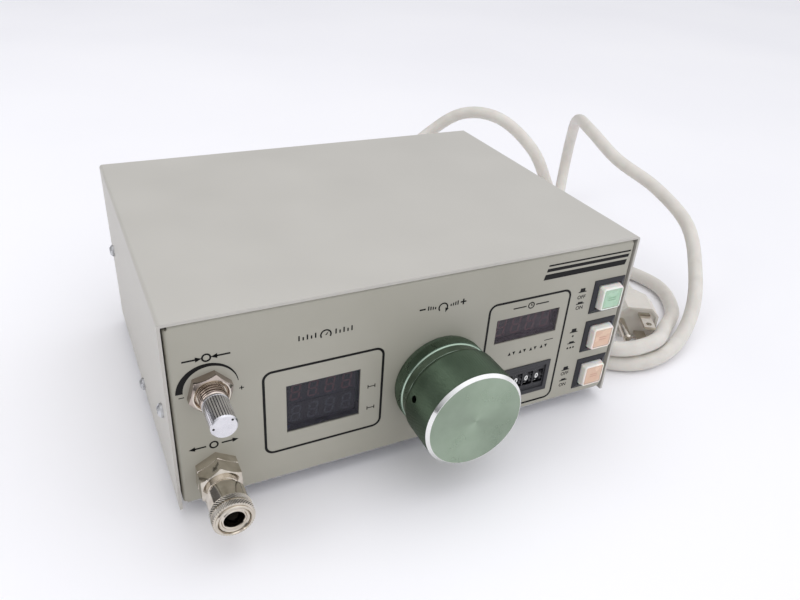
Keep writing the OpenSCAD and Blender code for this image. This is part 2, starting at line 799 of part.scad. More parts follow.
module pressure_digits() {
  row_h = (pressure_win_h - 2) / 2;
  color([0.20, 0.12, 0.14]) at_case() translate([pressure_x, 0, pressure_z]) for (s = [-1, 1])
    translate([0, 0, s * row_h * 0.52])
      square_y(pressure_win_w - 1.6, row_h * 0.96, display_front, display_back);
}

module pressure_board() {
  color([0.10, 0.35, 0.20]) at_case() translate([pressure_x, 0, pressure_z])
    display_board(pressure_win_w + 2 * window_flange + 4 * post_r + 1, pressure_win_h + 4);
}

module time_window() {
  color([0.22, 0.10, 0.14, 0.85]) at_case() translate([time_x, 0, time_z])
    window_plate(time_win_w, time_win_h);
}

module time_digits() {
  color([0.20, 0.12, 0.14]) at_case() translate([time_x, 0, time_z])
    square_y(time_win_w - 1.6, time_win_h - 1, display_front, display_back);
}

module time_board() {
  color([0.10, 0.35, 0.20]) at_case() translate([time_x, 0, time_z])
    display_board(time_win_w + 2 * window_flange + 4 * post_r + 1, time_win_h + 3);
}

// Thumbwheels
function wheel_shift(i) = (i - (wheel_count - 1) / 2) * wheel_pitch;

module thumbwheel_housing() {
  color([0.11, 0.11, 0.14]) at_case() translate([bank_x, 0, bank_z]) difference() {
    union() {
      square_y(bank_w, bank_h, bank_front, panel_front);
      square_y(bank_body_w, bank_body_h, bank_front + 0.2, bank_end);
    }
    square_y(bank_row_w, bank_h - 2 * bank_rim, bank_front - 1, plate_front);
    for (i = [0:wheel_count - 1]) translate([wheel_shift(i), 0, 0]) {
      square_y(bay_w, wheel_win_h, bank_front, plate_back + 1);
      square_y(bay_w, bay_h, plate_back, bay_end);
    }
    translate([0, wheel_y, 0]) rotate([0, 90, 0])
      cylinder(r = wheel_shaft_r + hole_gap / 2, h = bank_w + 2, center = true);
  }
}

module thumbwheel_shaft() {
  color([0.70, 0.70, 0.70]) at_case() translate([bank_x, wheel_y, bank_z]) rotate([0, 90, 0])
    cylinder(r = wheel_shaft_r, h = bank_body_w - 0.4, center = true);
}

module thumbwheel(i) {
  x = bank_x + wheel_shift(i) - wheel_w / 2;
  band = wheel_w * number_band;
  color([0.08, 0.08, 0.09]) at_case() translate([x, wheel_y, bank_z]) rotate([0, 90, 0]) difference() {
    union() {
      cylinder(r = wheel_r - number_drop, h = band);
      translate([0, 0, band]) linear_extrude(wheel_w - band)
        polygon(tooth_points(wheel_r, wheel_teeth, wheel_tooth));
    }
    translate([0, 0, -1]) cylinder(r = wheel_shaft_r + run_gap, h = wheel_w + 2);
  }
}

module thumbwheel_1() thumbwheel(0);
module thumbwheel_2() thumbwheel(1);
module thumbwheel_3() thumbwheel(2);
module thumbwheel_4() thumbwheel(3);

// Push buttons
module button_housing(i) {
  color([0.16, 0.16, 0.20]) at_case() translate([button_x, 0, button_z[i]]) difference() {
    union() {
      hull() {
        square_y(bezel_w, bezel_w, panel_front - bezel_foot, panel_front);
        square_y(bezel_rim_w, bezel_rim_w, bezel_front, panel_front);
      }
      square_y(housing_w, housing_w, panel_front - bezel_foot, housing_end);
    }
    square_y(housing_bore, housing_bore, bezel_front - 1, housing_end - housing_floor);
    square_y(plunger_hole_w, plunger_hole_w, housing_end - housing_floor - 1, housing_end + 1);
  }
}

module button_cap(i, tint) {
  cap_back = bezel_front + cap_skirt;
  color(tint) at_case() translate([button_x, 0, button_z[i]]) {
    hull() {
      cut_bar(cap_w - 2 * cap_bevel, cap_w - 2 * cap_bevel, cap_cut, cap_front, cap_front + 0.1);
      cut_bar(cap_w, cap_w, cap_cut, cap_front + cap_bevel, cap_back);
    }
    square_y(plunger_w, plunger_w, cap_back - lap, housing_end - 0.5);
  }
}

module power_housing() button_housing(0);
module mode_housing() button_housing(1);
module shot_housing() button_housing(2);
module power_button() button_cap(0, [0.75, 0.88, 0.78]);
module mode_button() button_cap(1, [0.92, 0.80, 0.73]);
module shot_button() button_cap(2, [0.92, 0.80, 0.73]);

module contact_blocks() {
  y0 = housing_end;
  color([0.25, 0.25, 0.27]) at_case() for (z = button_z) translate([button_x, 0, z]) {
    difference() {
      square_y(housing_w - 1, housing_w - 1, y0, y0 + contact_len);
      square_y(plunger_hole_w, plunger_hole_w, y0 - 1, y0 + button_travel + 1);
    }
    for (x = [-1:1]) translate([x * contact_pin_step, 0, 0])
      square_y(contact_pin[0], contact_pin[1], y0 + contact_len, y0 + contact_len + contact_pin_len);
  }
}

// Power supply and electronics
module transformer_core() {
  z0 = floor_z;
  color([0.35, 0.34, 0.33]) at_case() difference() {
    union() {
      block(core_x, core_y - core_stack / 2, core_y + core_stack / 2, z0, z0 + core_h, core_w);
      block(core_x, core_y - core_stack / 2 - core_foot, core_y + core_stack / 2 + core_foot, z0,
        z0 + core_foot_t, core_w - core_foot);
    }
    for (s = [-1, 1])
      block(core_x + s * (core_w / 4 - core_limb / 2 + 2), core_y - core_stack, core_y + core_stack,
        z0 + core_limb, z0 + core_h - core_limb, core_w / 2 - 1.5 * core_limb);
  }
}

module transformer_winding() {
  z0 = floor_z;
  color([0.85, 0.72, 0.30]) at_case() difference() {
    block(core_x, core_y - core_stack / 2 - winding_out, core_y + core_stack / 2 + winding_out,
      z0 + core_limb + slip_gap, z0 + core_h - core_limb - slip_gap, core_w - 2 * core_limb - 1);
    block(core_x, core_y - core_stack / 2 - slip_gap, core_y + core_stack / 2 + slip_gap, z0, z0 + core_h,
      core_limb + 2 * slip_gap);
  }
}

module main_board() {
  color([0.10, 0.40, 0.22]) at_case() difference() {
    block(main_x, main_y - main_d / 2, main_y + main_d / 2, main_z, main_z + board_t, main_w);
    board_corners() cylinder(r = screw_r + hole_gap, h = 10, center = true);
  }
}

module board_corners() {
  half_x = main_w / 2 - main_corner;
  half_y = main_d / 2 - main_corner;
  for (x = [-1, 1], y = [-1, 1])
    translate([main_x + x * half_x, main_y + y * half_y, main_z]) children();
}

module board_standoffs() {
  color([0.80, 0.78, 0.70]) at_case() board_corners() {
    translate([0, 0, floor_z - main_z]) cylinder(r = standoff_r, h = main_z - floor_z);
    cylinder(r = screw_r, h = board_t);
    translate([0, 0, board_t]) cylinder(r = screw_head_r * 0.9, h = standoff_nut_h);
  }
}

module board_parts() {
  color([0.15, 0.15, 0.17]) at_case() translate([main_x, main_y, main_z + board_t]) {
    for (i = [0:2]) translate([main_w * (0.18 * i - 0.31), -main_d * 0.29, 0])
      cylinder(r = can_r * (1 - 0.13 * i), h = can_h * (1 - 0.18 * i));
    for (i = [0:2]) translate([main_w * (0.21 * i - 0.26), main_d * 0.13, 0]) upright(chip);
    for (i = [0:3]) translate([main_w * (0.19 * i - 0.32), main_d * 0.35, 0]) upright(header);
    translate([main_w * 0.33, -main_d * 0.21, 0]) upright(heat_sink);
  }
}

// Pneumatics
module valve_block() {
  port_z = floor_z + valve_h / 2;
  y0 = valve_y - valve_half;
  color([0.78, 0.78, 0.80]) at_case() {
    block(valve_x, y0, valve_y + valve_half, floor_z, floor_z + valve_h, valve_w);
    translate([valve_x, 0, port_z]) rod_y(port_r, y0 - port_len, y0 + lap);
    for (y = [-1, 1])
      translate([valve_x + valve_w / 2 - lap, valve_y + y * valve_step, port_z]) rotate([0, 90, 0])
        cylinder(r = port_r, h = side_port_len + lap);
  }
}

module solenoids() {
  top = solenoid_base_h + coil_h;
  color([0.14, 0.14, 0.16]) at_case() for (y = [-1, 1])
    translate([valve_x, valve_y + y * valve_step, floor_z + valve_h]) {
      upright([solenoid_w, solenoid_w, solenoid_base_h]);
      translate([0, 0, solenoid_base_h - lap]) cylinder(r = solenoid_w / 2, h = coil_h + lap);
      translate([0, 0, top - lap]) upright([solenoid_tag[0], solenoid_tag[1], solenoid_tag[2] + lap]);
    }
}

module vacuum_generator() {
  side_z = floor_z + valve_h / 2;
  end_z = floor_z + gen_w / 2;
  color([0.20, 0.22, 0.26]) at_case() {
    block(gen_x, valve_y - gen_half, valve_y + gen_half, floor_z, floor_z + gen_w, gen_w);
    translate([gen_x, 0, end_z]) rod_y(port_r, valve_y + gen_half - lap, valve_y + gen_half + port_len);
    translate([gen_x, 0, end_z]) rod_y(port_r, valve_y - gen_half - port_len, valve_y - gen_half + lap);
    for (y = [-1, 1])
      translate([gen_x - gen_w / 2 + lap, valve_y + y * valve_step, side_z]) rotate([0, -90, 0])
        cylinder(r = port_r, h = gen_port_len + lap);
  }
}

function unit(v) = v / norm(v);

// Straight piece of tube from a to b, both on one line along an axis
module tube_straight(a, b) {
  v = unit(b - a);
  upright_turn = [v[2] > 0 ? 0 : 180, 0, 0];
  turn = abs(v[0]) > 0.5 ? [0, 90 * v[0], 0] : abs(v[1]) > 0.5 ? [-90 * v[1], 0, 0] : upright_turn;
  translate(a) rotate(turn) cylinder(r = tube_r, h = norm(b - a), $fn = tube_sides);
}

// Quarter bend at the corner c, coming along u and leaving along v
module tube_corner(c, u, v) {
  w = cross(-v, u);
  o = c - tube_bend * u + tube_bend * v;
  multmatrix([
    [-v[0], u[0], w[0], o[0]],
    [-v[1], u[1], w[1], o[1]],
    [-v[2], u[2], w[2], o[2]]
  ]) rotate_extrude(angle = 90, $fn = tube_sides)
    translate([tube_bend, 0]) circle(r = tube_r, $fn = tube_sides);
}

module tube_run(p) {
  last = len(p) - 1;
  for (i = [0:last - 1]) {
    v = unit(p[i + 1] - p[i]);
    tube_straight(p[i] + v * (i > 0 ? tube_bend : 0), p[i + 1] - v * (i < last - 1 ? tube_bend : 0));
    if (i > 0) tube_corner(p[i], unit(p[i] - p[i - 1]), v);
  }
}

module air_tubes() {
  reg_tube_x = reg_x + reg_port_x + tube_bend + tube_lead;
  low_z = floor_z + valve_h / 2;
  gen_z = floor_z + gen_w / 2;
  vac_tube_z = vac_z - vac_port_drop;
  cross_z = vac_tube_z - tube_bend - tube_lead;
  coupler_tube_y = vac_block_end + port_len + tube_bend + tube_lead;
  silencer_tube_y = silencer_inner - tube_bend - tube_lead;
  color([0.20, 0.40, 0.75]) at_case() {
    // From the inlet to the regulator
    tube_run([
      [inlet_x, inlet_inner, inlet_z], [inlet_x, tube_rear, inlet_z], [inlet_x, tube_rear, tube_top],
      [reg_tube_x, tube_rear, tube_top], [reg_tube_x, reg_port_y, tube_top],
      [reg_tube_x, reg_port_y, reg_z], [reg_x + reg_port_x, reg_port_y, reg_z]
    ]);
    // From the regulator to the valve block
    tube_run([
      [reg_x - reg_port_x, reg_port_y, reg_z], [valve_x, reg_port_y, reg_z], [valve_x, reg_port_y, low_z],
      [valve_x, valve_y - valve_half - port_len, low_z]
    ]);
    // From the valve block to the generator
    for (y = [-1, 1]) tube_run([
      [valve_x + valve_w / 2 + side_port_len, valve_y + y * valve_step, low_z],
      [gen_x - gen_w / 2 - gen_port_len, valve_y + y * valve_step, low_z]
    ]);
    // From the generator to the silencer
    tube_run([
      [gen_x, valve_y + gen_half + port_len, gen_z], [gen_x, silencer_tube_y, gen_z],
      [gen_x, silencer_tube_y, silencer_z], [gen_x, silencer_inner, silencer_z]
    ]);
    // From the vacuum valve to the generator
    tube_run([
      [vac_x, vac_port_y, vac_tube_z], [vac_x, vac_port_y, cross_z], [gen_x, vac_port_y, cross_z],
      [gen_x, vac_port_y, gen_z], [gen_x, valve_y - gen_half - port_len, gen_z]
    ]);
    // From the coupler to the vacuum valve
    tube_run([
      [vac_x, coupler_inner_end, air_z], [vac_x, coupler_tube_y, air_z],
      [vac_x, coupler_tube_y, vac_z], [vac_x, vac_block_end + port_len, vac_z]
    ]);
  }
}

// Rear panel fittings
module inlet_fitting() {
  y1 = rear_face + inlet_out;
  color([0.80, 0.78, 0.74]) at_case() translate([inlet_x, 0, inlet_z]) difference() {
    union() {
      rod_y(inlet_thread_r, inlet_inner, rear_face + lap);
      hex_y(inlet_af, rear_face, rear_face + nut_t);
      hex_y(inlet_af - 1, rear_inner - nut_t, rear_inner);
      rod_y(inlet_barrel_r, rear_face + nut_t - lap, y1);
    }
    rod_y(inlet_bore_r, rear_face - inlet_bore_len, y1 + 1);
    rod_y(inlet_bore_r + inlet_seat, y1 - inlet_seat_len, y1 + 1);
    rod_y(inlet_way_r, inlet_inner - 1, rear_face);
  }
}

module inlet_collar() {
  y1 = rear_face + inlet_out;
  y2 = y1 + slip_gap + collar_travel;
  color([0.15, 0.25, 0.60]) at_case() translate([inlet_x, 0, inlet_z]) difference() {
    union() {
      rod_y(inlet_bore_r + inlet_seat - slip_gap, y1 - inlet_seat_len + collar_t, y2);
      rod_y(collar_r, y2, y2 + collar_t);
    }
    rod_y(inlet_bore_r + run_gap / 2, y1 - inlet_seat_len - 1, y2 + collar_t + 1);
  }
}

module silencer() {
  y1 = rear_face + silencer_out;
  color([0.70, 0.55, 0.35]) at_case() translate([silencer_x, 0, silencer_z]) {
    rod_y(silencer_thread_r, silencer_inner, rear_face + lap);
    hex_y(silencer_af, rear_face, rear_face + silencer_hex_t);
    rod_y(silencer_r, rear_face + silencer_hex_t - lap, y1 - 2);
    rod_y(silencer_r, y1 - 2, y1, silencer_r - 2);
  }
}

module foot_switch_socket() {
  y0 = rear_inner - socket_len;
  color([0.75, 0.75, 0.77]) at_case() translate([socket_x, 0, socket_z]) {
    difference() {
      union() {
        rod_y(socket_thread_r, y0, rear_face + socket_depth);
        rod_y(socket_thread_r + socket_flange, rear_face, rear_face + socket_flange_t);
        hex_y(socket_af, rear_inner - socket_nut_t, rear_inner);
      }
      rod_y(socket_bore_r, rear_face - socket_depth, rear_face + socket_depth + 1);
    }
    for (a = [45:90:315]) rotate([0, a, 0]) {
      translate([socket_pin[0], 0, 0]) rod_y(socket_pin[1], rear_face - socket_depth - lap, rear_face + 1);
      translate([socket_tag[0], 0, 0]) rod_y(socket_tag[1], y0 - socket_tag[2], y0 + lap);
    }
  }
}

module fuse_holder() {
  y0 = rear_inner - fuse_len;
  color([0.10, 0.10, 0.11]) at_case() translate([fuse_x, 0, fuse_z]) difference() {
    union() {
      rod_y(fuse_thread_r, y0, rear_face + lap);
      rod_y(fuse_cap_r + 1, rear_face, rear_face + fuse_flange_t);
      hex_y(fuse_af, rear_inner - nut_t, rear_inner);
    }
    rod_y(fuse_bore_r, y0 + fuse_floor, rear_face + fuse_flange_t + 1);
  }
}

module fuse_cap() {
  y0 = rear_face + fuse_flange_t + slip_gap;
  y1 = y0 + fuse_cap_len;
  color([0.10, 0.10, 0.11]) at_case() translate([fuse_x, 0, fuse_z]) difference() {
    union() {
      rod_y(fuse_bore_r - run_gap, rear_inner - fuse_plug_len, y0 + lap);
      toothed_y(fuse_cap_r, 24, 0.5, y0, y1 - 1);
      rod_y(fuse_cap_r - 0.6, y1 - 1, y1, fuse_cap_r - 1.4);
    }
    translate([0, y1, 0]) cube(fuse_slot, center = true);
  }
}

// Mains cord
module cord_relief() {
  y0 = rear_face;
  color([0.80, 0.78, 0.74]) at_case() translate([cord_x, 0, cord_z]) {
    rod_y(relief_neck_r, rear_inner - nut_t, y0 + lap);
    rod_y(relief_neck_r + relief_nut, rear_inner - nut_t, rear_inner);
    rod_y(relief_flange_r, y0, y0 + relief_flange_t);
    rod_y(relief_neck_r, y0 + relief_flange_t - lap, y0 + relief_len, cord_r + relief_wall);
  }
}

function spline(a, b, c, d, t) =
  (2 * b + (c - a) * t + (2 * a - 5 * b + 4 * c - d) * t * t + (3 * b - a - 3 * c + d) * t * t * t) / 2;

function smooth_way(p, n) =
  let (m = len(p) - 1, q = concat([2 * p[0] - p[1]], p, [2 * p[m] - p[m - 1]]))
  concat([for (i = [0:m - 1], k = [0:n - 1]) spline(q[i], q[i + 1], q[i + 2], q[i + 3], k / n)], [p[m]]);

function headings(p) = [for (i = [0:len(p) - 1]) unit(p[min(i + 1, len(p) - 1)] - p[max(i - 1, 0)])];

function carried(t, side, i = 0) =
  i == len(t) ? [] : let (s = unit(side - (side * t[i]) * t[i])) concat([s], carried(t, s, i + 1));

// Round tube swept along the points p
module swept_tube(p, r, n) {
  t = headings(p);
  s = carried(t, [0, 0, 1]);
  last = len(p) - 1;
  rings = [for (i = [0:last], k = [0:n - 1]) let (a = 360 * k / n)
    p[i] + r * cos(a) * s[i] + r * sin(a) * cross(t[i], s[i])];
  walls = [for (i = [0:last - 1], k = [0:n - 1]) let (k2 = (k + 1) % n)
    [i * n + k, (i + 1) * n + k, (i + 1) * n + k2, i * n + k2]];
  caps = [[for (k = [0:n - 1]) k], [for (k = [0:n - 1]) last * n + n - 1 - k]];
  polyhedron(rings, concat(walls, caps));
}

module cord() {
  color([0.80, 0.78, 0.74]) swept_tube(smooth_way(cord_points, cord_steps), cord_r, cord_sides);
}

// The blades point along -y from the end of the cord
module plug_place() {
  translate(cord_points[len(cord_points) - 1]) rotate([0, 0, plug_turn]) children();
}

module plug_body() {
  color([0.82, 0.80, 0.76]) plug_place() difference() {
    union() {
      rod_y(relief_neck_r, -plug_relief, 0, cord_r + relief_wall);
      hull() {
        rod_y(relief_neck_r, -plug_relief, lap - plug_relief);
        cut_bar(plug_w, plug_h, plug_cut, -plug_body_from - lap, -plug_body_from);
      }
      cut_bar(plug_w, plug_h, plug_cut, -plug_len, -plug_body_from);
    }
    cut_bar(plug_w - 2 * plug_rim, plug_h - 2 * plug_rim, plug_cut - 1, -plug_len - 1,
      plug_recess - plug_len);
    translate([earth_x, 0, 0]) rod_y(earth_r, -plug_len - 1, plug_recess - plug_len);
  }
}

module plug_blades() {
  root = plug_recess - plug_len;
  color([0.82, 0.80, 0.74]) plug_place() {
    for (z = [-blade_z, blade_z]) difference() {
      translate([blade_x - blade_w / 2, root - blade_len, z - blade_t / 2])
        cube([blade_w, blade_len, blade_t]);
      translate([blade_x, root - blade_len + blade_hole_in, z - blade_t])
        cylinder(r = blade_hole_r, h = 2 * blade_t);
    }
    translate([earth_x, 0, 0]) rod_y(earth_r, root - earth_len + lap, root);
    translate([earth_x, 0, 0]) rod_y(earth_r * 0.6, root - earth_len, root - earth_len + lap, earth_r);
  }
}

cover();
front_panel();
rear_panel();
base_plate();
feet();
cover_screws();
base_screws();
regulator_knob();
knob_set_screw();
regulator_stem();
lock_ring();
regulator_body();
regulator_screws();
vacuum_knob();
vacuum_stem();
vacuum_nut();
vacuum_valve_body();
coupler_nut();
coupler_body();
coupler_sleeve();
coupler_poppet();
pressure_window();
pressure_digits();
pressure_board();
time_window();
time_digits();
time_board();
thumbwheel_housing();
thumbwheel_shaft();
thumbwheel_1();
thumbwheel_2();
thumbwheel_3();
thumbwheel_4();
power_housing();
mode_housing();
shot_housing();
power_button();
mode_button();
shot_button();
contact_blocks();
transformer_core();
transformer_winding();
main_board();
board_parts();
board_standoffs();
valve_block();
solenoids();
vacuum_generator();
air_tubes();
inlet_fitting();
inlet_collar();
fuse_holder();
fuse_cap();
foot_switch_socket();
silencer();
cord_relief();
cord();
plug_body();
plug_blades();
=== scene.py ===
import math

import bmesh
import bpy
from mathutils import Matrix, Vector


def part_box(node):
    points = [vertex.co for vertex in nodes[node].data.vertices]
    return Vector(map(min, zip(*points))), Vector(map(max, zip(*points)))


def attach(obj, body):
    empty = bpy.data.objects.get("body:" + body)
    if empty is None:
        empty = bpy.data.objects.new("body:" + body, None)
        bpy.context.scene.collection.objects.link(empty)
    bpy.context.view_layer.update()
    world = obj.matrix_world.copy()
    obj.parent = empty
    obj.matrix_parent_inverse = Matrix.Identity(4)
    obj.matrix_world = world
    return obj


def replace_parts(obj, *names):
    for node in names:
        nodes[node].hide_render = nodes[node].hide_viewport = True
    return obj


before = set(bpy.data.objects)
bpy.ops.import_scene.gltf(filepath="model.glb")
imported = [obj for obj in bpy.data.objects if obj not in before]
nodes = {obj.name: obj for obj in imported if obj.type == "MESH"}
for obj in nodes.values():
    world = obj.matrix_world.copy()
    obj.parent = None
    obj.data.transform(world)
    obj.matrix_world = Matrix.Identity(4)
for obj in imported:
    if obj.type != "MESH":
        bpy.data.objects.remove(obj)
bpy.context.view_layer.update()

MM = 0.001


def middle_of(node):
    """Centre of a solid's box"""
    low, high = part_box(node)
    return (low + high) / 2


# Camera at the photograph's place: its right and up directions and the point it stands at
cam_at = Vector((-0.13058, -0.29040, 0.23047))
cam_right = Vector((0.89724, -0.43717, 0.06195))
cam_up = Vector((0.17693, 0.48452, 0.85670))
cam_lens = 32.33
cam_sensor = 36


def make_camera():
    back = cam_right.cross(cam_up).normalized()
    data = bpy.data.cameras.new("camera")
    data.lens = cam_lens
    data.sensor_width = cam_sensor
    camera = bpy.data.objects.new("camera", data)
    turn = Matrix((cam_right, cam_up, back)).transposed().to_4x4()
    camera.matrix_world = Matrix.Translation(cam_at) @ turn
    bpy.context.scene.collection.objects.link(camera)
    bpy.context.scene.camera = camera


make_camera()

# The mains cord, from the tip of its strain relief to the back of its plug. Where it lies on the table,
# its centre line runs as high as the last of these values says.
cord_across = 8.5 * MM
lying_mm = cord_across / MM / 2 + 0.2
cord_way_mm = [
    (82, 117, 41), (85, 142, 41), (105, 167, 45), (131, 177, 59), (154, 166, 77), (172, 142, 79),
    (186, 116, 63), (196, 104, 38), (213, 110, 13), (236, 136, 5), (254, 157, 22), (257, 159, 51),
    (244, 140, 73), (230, 108, 76), (228, 73, 66), (235, 39, 57), (237, 7, 43), (221, -22, 25),
    (198, -45, 13), (168, -61, 6), (139, -62, lying_mm), (118, -44, lying_mm), (113, -15, lying_mm),
    (121, 19, lying_mm), (145, 44, lying_mm), (178, 51, lying_mm), (206, 35, lying_mm), (217, 2, 5),
    (204, -26, 5), (180, -44, 8), (155, -59, 13), (130, -57, 13.5), (115, -35, 13.5),
    (113, -3, 13.5), (120, 29, 14), (138, 59, 14.5), (166, 68, 14.5), (189, 54, 13.5),
    (195, 23, 12), (186.5, 5, 10.5),
]
cord_way = [Vector(p) * MM for p in cord_way_mm]
cord_steps = 6
cord_sides = 20


def smooth_way(points, steps):
    """Points along one smooth curve through the given ones"""
    ends = [2 * points[0] - points[1]] + points + [2 * points[-1] - points[-2]]
    way = []
    for i in range(len(points) - 1):
        a, b, c, d = ends[i:i + 4]
        for k in range(steps):
            t = k / steps
            way.append((2 * b + (c - a) * t + (2 * a - 5 * b + 4 * c - d) * t ** 2
                        + (3 * b - a - 3 * c + d) * t ** 3) / 2)
    return way + [points[-1]]


def make_cord():
    """Round mains cord as a tube of even thickness along its way"""
    way = smooth_way(cord_way, cord_steps)
    aheads = [(way[min(i + 1, len(way) - 1)] - way[max(i - 1, 0)]).normalized() for i in range(len(way))]
    side = aheads[0].orthogonal()
    points, faces = [], []
    for at, ahead in zip(way, aheads):
        side = (side - ahead * side.dot(ahead)).normalized()
        up = ahead.cross(side)
        for k in range(cord_sides):
            a = 2 * math.pi * k / cord_sides
            points.append(at + (side * math.cos(a) + up * math.sin(a)) * cord_across / 2)
    for i in range(len(way) - 1):
        for k in range(cord_sides):
            k2 = (k + 1) % cord_sides
            row, after = i * cord_sides, (i + 1) * cord_sides
            faces.append([row + k, row + k2, after + k2, after + k])
    faces += [list(range(cord_sides)), list(range(len(points) - 1, len(points) - 1 - cord_sides, -1))]
    mesh = bpy.data.meshes.new("mains_cord")
    mesh.from_pydata([tuple(p) for p in points], [], faces)
    mesh.shade_smooth()
    cord = bpy.data.objects.new("mains_cord", mesh)
    bpy.context.scene.collection.objects.link(cord)
    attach(cord, "case")
    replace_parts(cord, "cord")
    return cord


cord = make_cord()


# Materials
def linear(hex_colour):
    """An sRGB hex value as the linear colour that a shader takes"""
    parts = [int(hex_colour[i:i + 2], 16) / 255 for i in (1, 3, 5)]
    return [c / 12.92 if c <= 0.04045 else ((c + 0.055) / 1.055) ** 2.4 for c in parts] + [1.0]


def per_mm(size_mm):
    """Scale of a noise whose grains are about that size"""
    return 1000 / size_mm


def ring_scale(line_mm):
    """Scale of a wave whose rings lie that far apart"""
    return 2 * math.pi / 20 * 1000 / line_mm


def add(tree, kind, sockets=None, **settings):
    """Adds one shader node with its settings; a socket's value may be another node's output"""
    node = tree.nodes.new("ShaderNode" + kind)
    for name, value in settings.items():
        setattr(node, name, value)
    for name, value in (sockets or {}).items():
        if isinstance(value, bpy.types.NodeSocket):
            tree.links.new(value, node.inputs[name])
        else:
            node.inputs[name].default_value = value
    return node


def new_finish(name, **sockets):
    """A material on the Principled shader, whose sockets are named with _ for each space"""
    made = bpy.data.materials.new(name)
    made.use_nodes = True
    shader = made.node_tree.nodes["Principled BSDF"]
    for socket, value in sockets.items():
        shader.inputs[socket.replace("_", " ")].default_value = value
    return made, made.node_tree, shader


def ground(tree, shader, tones, patch_mm, gloss, grain_mm, relief_mm):
    """What most finishes share: tones and gloss that drift over patches, and a fine relief"""
    place = add(tree, "TexCoord").outputs["Object"]
    patch = add(tree, "TexNoise", {"Vector": place, "Scale": per_mm(patch_mm), "Detail": 4.0})
    spread = add(tree, "MapRange", {"Value": patch.outputs["Fac"], "From Min": 0.3, "From Max": 0.7})
    tone = add(tree, "MixRGB", {"Fac": spread.outputs["Result"], "Color1": linear(tones[0]),
                                "Color2": linear(tones[1])})
    dull = add(tree, "MapRange", {"Value": patch.outputs["Fac"], "From Min": 0.3, "From Max": 0.7,
                                  "To Min": gloss[0], "To Max": gloss[1]})
    grain = add(tree, "TexNoise", {"Vector": place, "Scale": per_mm(grain_mm), "Detail": 2.0})
    relief = add(tree, "Bump", {"Height": grain.outputs["Fac"], "Distance": relief_mm * MM})
    tree.links.new(tone.outputs["Color"], shader.inputs["Base Color"])
    tree.links.new(dull.outputs["Result"], shader.inputs["Roughness"])
    tree.links.new(relief.outputs["Normal"], shader.inputs["Normal"])


def baked_enamel(name, dark, light):
    """Stoving enamel sprayed on sheet steel: even warm grey with a faint orange peel"""
    made, tree, shader = new_finish(name, IOR=1.5)
    ground(tree, shader, (dark, light), 45, (0.40, 0.48), 0.9, 0.006)
    return made


def silkscreen_ink():
    """Screen-printed epoxy ink: near black and half dull, a little uneven where it lies thin"""
    made, tree, shader = new_finish("silkscreen_ink", IOR=1.5, Specular_IOR_Level=0.2)
    ground(tree, shader, ("#0B0A0A", "#151414"), 3, (0.45, 0.6), 0.3, 0.002)
    return made


def anodised_aluminium(name, dark, light, gloss, axis=None, line_mm=0.3, streak=0.0):
    """Dyed anodised aluminium, turned on a lathe: a metal with fine rings about its axis"""
    made, tree, shader = new_finish(name, Metallic=1.0, Anisotropic=streak)
    ground(tree, shader, (dark, light), 12, gloss, 0.25, 0.002)
    if axis is not None:
        turned(tree, shader, axis, line_mm, 0.004)
    if streak:
        along = add(tree, "Tangent", direction_type="RADIAL", axis="Y")
        tree.links.new(along.outputs["Tangent"], shader.inputs["Tangent"])
    return made


def from_axis(tree, axis):
    """Where a point lies from an axis along Y"""
    place = add(tree, "TexCoord").outputs["Object"]
    return add(tree, "VectorMath", {0: place, 1: (-axis.x, 0, -axis.z)}, operation="ADD").outputs["Vector"]


def shader_of(made):
    return made.node_tree, made.node_tree.nodes["Principled BSDF"]


def tone_of(shader):
    return shader.inputs["Base Color"].links[0].from_socket


def darken(tree, shader, share, dark):
    """Mixes a dark tone into a finish where the share is low"""
    mixed = add(tree, "MixRGB", {"Fac": share, "Color1": linear(dark), "Color2": tone_of(shader)})
    tree.links.new(mixed.outputs["Color"], shader.inputs["Base Color"])


def add_relief(tree, shader, height, depth):
    """A second relief over a finish's own"""
    relief = add(tree, "Bump", {"Height": height, "Distance": depth,
                                "Normal": shader.inputs["Normal"].links[0].from_socket})
    tree.links.new(relief.outputs["Normal"], shader.inputs["Normal"])


def turned(tree, shader, axis, line_mm, relief_mm):
    """Rings that a lathe tool leaves about an axis along Y, coarser than the real ones so that they show"""
    rings = add(tree, "TexWave", {"Vector": from_axis(tree, axis), "Scale": ring_scale(line_mm),
                                  "Distortion": 1.5, "Detail": 2.0},
                wave_type="RINGS", rings_direction="Y")
    add_relief(tree, shader, rings.outputs["Fac"], relief_mm * MM)


def fan_sheen(made, axis, depth):
    """Painted sheen: lighter and darker wedges in the base colour, which fan out from a turned face's centre
    as its highlight would
    """
    tree, shader = shader_of(made)
    parts = add(tree, "SeparateXYZ", {"Vector": from_axis(tree, axis)}).outputs
    angle = add(tree, "Math", {0: parts["Z"], 1: parts["X"]}, operation="ARCTAN2")
    twice = add(tree, "Math", {0: angle.outputs[0], 1: 2.0, 2: -0.6}, operation="MULTIPLY_ADD")
    wave = add(tree, "Math", {0: twice.outputs[0]}, operation="SINE")
    gain = add(tree, "Math", {0: wave.outputs[0], 1: depth, 2: 1.0}, operation="MULTIPLY_ADD")
    scaled = add(tree, "VectorMath", {0: tone_of(shader), "Scale": gain.outputs[0]}, operation="SCALE")
    tree.links.new(scaled.outputs["Vector"], shader.inputs["Base Color"])
    return made


def dark_grooves(made, axis, bottom_mm, top_mm, dark):
    """Painted shade in the grooves of a knurl or a thread about an axis along Y: the colour turns darker
    towards the groove bottoms
    """
    tree, shader = shader_of(made)
    across = add(tree, "VectorMath", {0: from_axis(tree, axis), 1: (1, 0, 1)}, operation="MULTIPLY")
    out = add(tree, "VectorMath", {0: across.outputs["Vector"]}, operation="LENGTH")
    height = add(tree, "MapRange", {"Value": out.outputs["Value"], "From Min": bottom_mm * MM,
                                    "From Max": top_mm * MM})
    darken(tree, shader, height.outputs["Result"], dark)
    return made


